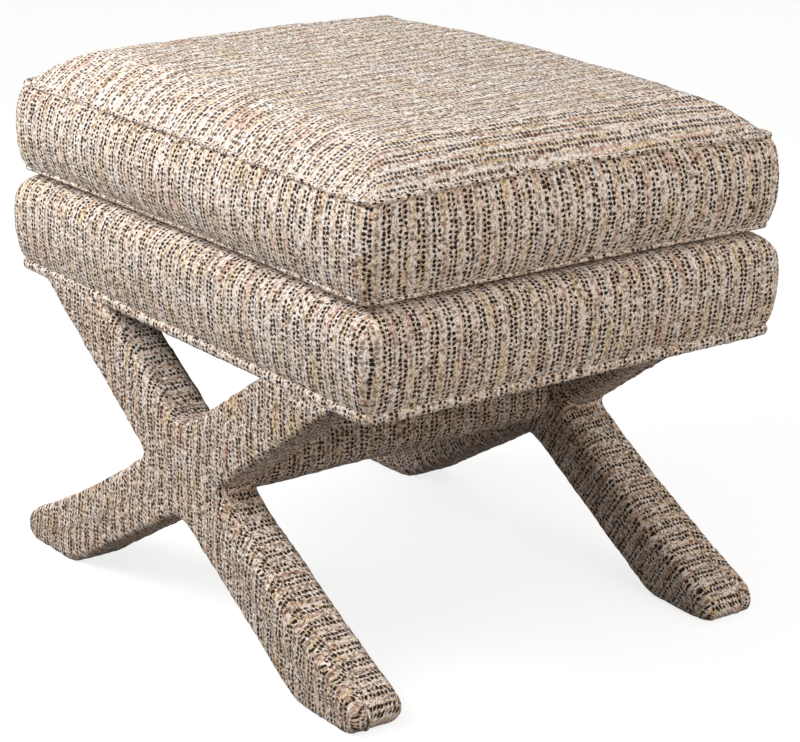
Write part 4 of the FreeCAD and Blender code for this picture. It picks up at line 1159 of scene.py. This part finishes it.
def make_stretcher():
    """A band round the stretcher's section, laid along Y; its fabric is drawn in a little at the ends."""
    half_z = (STRETCHER_HIGH[2] - STRETCHER_LOW[2]) / 2
    middle = (STRETCHER_HIGH[2] + STRETCHER_LOW[2]) / 2
    length = STRETCHER_HIGH[1] - STRETCHER_LOW[1]
    count = steps_for(length, MESH_STEP)
    rows = []
    for number in range(count + 1):
        share = number / count
        from_end = min(share, 1 - share) * length
        pinch = STRETCHER_PINCH * math.exp(-from_end / STRETCHER_PINCH_REACH)
        rows.append((pinch, STRETCHER_LOW[1] + share * length, STRETCHER_ROUND, 0.0))
    patches = []
    for grid, weave in band(STRETCHER_HIGH[0], half_z, rows, MESH_STEP):
        turned = np.stack([grid[..., 0], grid[..., 2], grid[..., 1] + middle], axis=-1)
        patches.append((turned, weave[..., ::-1].copy()))
    mesh = patch_mesh("stretcher_fabric", patches)
    roughen(mesh, padding=0.0008, yarn=0.0006, seed=41)
    piece = add_piece("stretcher_fabric", mesh, "stool", "tweed", FRAME_TWEED_PAINTED_SHADE)
    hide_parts("stretcher_cover", "stretcher_wadding")


# Materials of the nodes that stay as they are: name, dark and light colour, stretch, roughness, metal

def dress_nodes():
    boards = [prefix + "_x_" + board for prefix in ("front", "back")
              for board in ("rising_board", "falling_board")]
    rails = ["front_rail", "back_rail", "left_rail", "right_rail", "corner_blocks", "stretcher_core"]
    fixings = ["frame_bolts", "stretcher_bolts", "bolt_washers", "barrel_nuts", "corner_screws",
               "deck_screws", "lap_screws", "dust_cover_staples"]
    finishes = (
        (("beech", (176, 128, 84), (214, 172, 126), (60, 60, 500), 0.6), rails + boards),
        (("plywood", (178, 142, 98), (216, 186, 144), (30, 220, 30), 0.65), ["seat_deck"]),
        (("zinc_steel", (138, 140, 144), (186, 188, 192), (900, 900, 900), 0.35, 1.0), fixings),
        (("foam", (216, 200, 150), (236, 224, 182), (900, 900, 900), 0.95), ["cushion_foam_core"]),
        (("black_cloth", (24, 24, 25), (44, 44, 46), (1400, 1400, 1400), 0.95), ["dust_cover"]),
        # The zip tape's colour is lightened to offset the shade in the zip's slot: painted light
        (("tape_cloth_painted_light", (150, 132, 110), (190, 172, 148), (1500, 1500, 1500), 0.9), ["zip_tape"]),
        # The zip's brass is lightened to offset the shade in the zip's slot: painted light
        (("antique_brass_painted_light", (140, 110, 66), (196, 162, 108), (700, 700, 700), 0.4, 1.0),
         ["zip_stops", "zip_slider", "zip_pull"]),
        (("glide_plastic", (30, 27, 25), (52, 48, 44), (1200, 1200, 1200), 0.5), ["foot_glides"]),
    )
    for finish, names in finishes:
        material = grained(*finish)
        for name in names:
            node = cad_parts[name]
            node.data.materials.clear()
            node.data.materials.append(material)


# Floor: a soft grey to the object, and a pale sheet to the camera

FLOOR_HALF = 14.0
FLOOR_HEIGHT = -0.0005
FLOOR_COLOUR = (0.18, 0.17, 0.16, 1.0)
FLOOR_SEEN_COLOUR = (0.34, 0.34, 0.34, 1.0)
FLOOR_SEEN_GLOW = 0.80


def make_floor():
    ends = (-FLOOR_HALF, FLOOR_HALF)
    grid = np.array([[[x, y, FLOOR_HEIGHT] for x in ends] for y in ends])
    mesh = patch_mesh("floor", [(grid, grid[:, :, :2].copy())])
    floor = add_object("floor", mesh)
    wiring = MaterialWiring("floor_paper")
    seen = wiring.background_rays()
    shade = wiring.mix(seen, FLOOR_COLOUR, FLOOR_SEEN_COLOUR)
    wiring.shader.inputs["Emission Color"].default_value = WHITE
    wiring.feed(wiring.shader.inputs["Emission Strength"], wiring.maths("MULTIPLY", seen, FLOOR_SEEN_GLOW))
    mesh.materials.append(wiring.finish(shade, 1.0, specular=0.0))


# Light: a studio that is brighter overhead, and softboxes by place, target, watts, size and tone

STUDIO_BELOW = (0.17, 0.165, 0.16, 1.0)
STUDIO_ABOVE = (0.64, 0.635, 0.63, 1.0)
SOFTBOXES = {
    "key": ((-0.45, -1.25, 1.35), (0, 0, 0.4), 25.5, 1.1, (0.985, 0.99, 1.0)),
    "fill": ((1.8, 0.1, 0.95), (0.2, 0, 0.35), 11.5, 1.0, (1.0, 0.93, 0.87)),
}


def add_softbox(name, place, target, watts, size, tone):
    data = bpy.data.lights.new(name, "AREA")
    data.energy = watts
    data.color = tone
    data.size = size
    box = add_object(name, data)
    box.location = place
    box.rotation_euler = (Vector(place) - Vector(target)).to_track_quat("Z", "Y").to_euler()


def make_light():
    """The world's light rises from below to above; the camera sees it as plain white."""
    world = bpy.data.worlds.new("studio")
    bpy.context.scene.world = world
    world.use_nodes = True
    wiring = Wiring(world.node_tree)
    background = wiring.tree.nodes["Background"]
    upward = wiring.split(wiring.node("ShaderNodeTexCoord").outputs["Generated"])[2]
    shade = wiring.ramp(upward, (0.0, STUDIO_BELOW), (1.0, STUDIO_ABOVE))
    wiring.feed(background.inputs["Color"], wiring.mix(wiring.background_rays(), shade, WHITE))
    background.inputs["Strength"].default_value = 1.0
    for name, values in SOFTBOXES.items():
        add_softbox(name, *values)


bpy.context.scene.view_settings.view_transform = "Standard"
add_camera()
make_light()
make_floor()
dress_nodes()
make_base()
make_welt()
make_frames()
make_stretcher()
make_cushion()
make_cushion_seams()
make_zip_teeth()
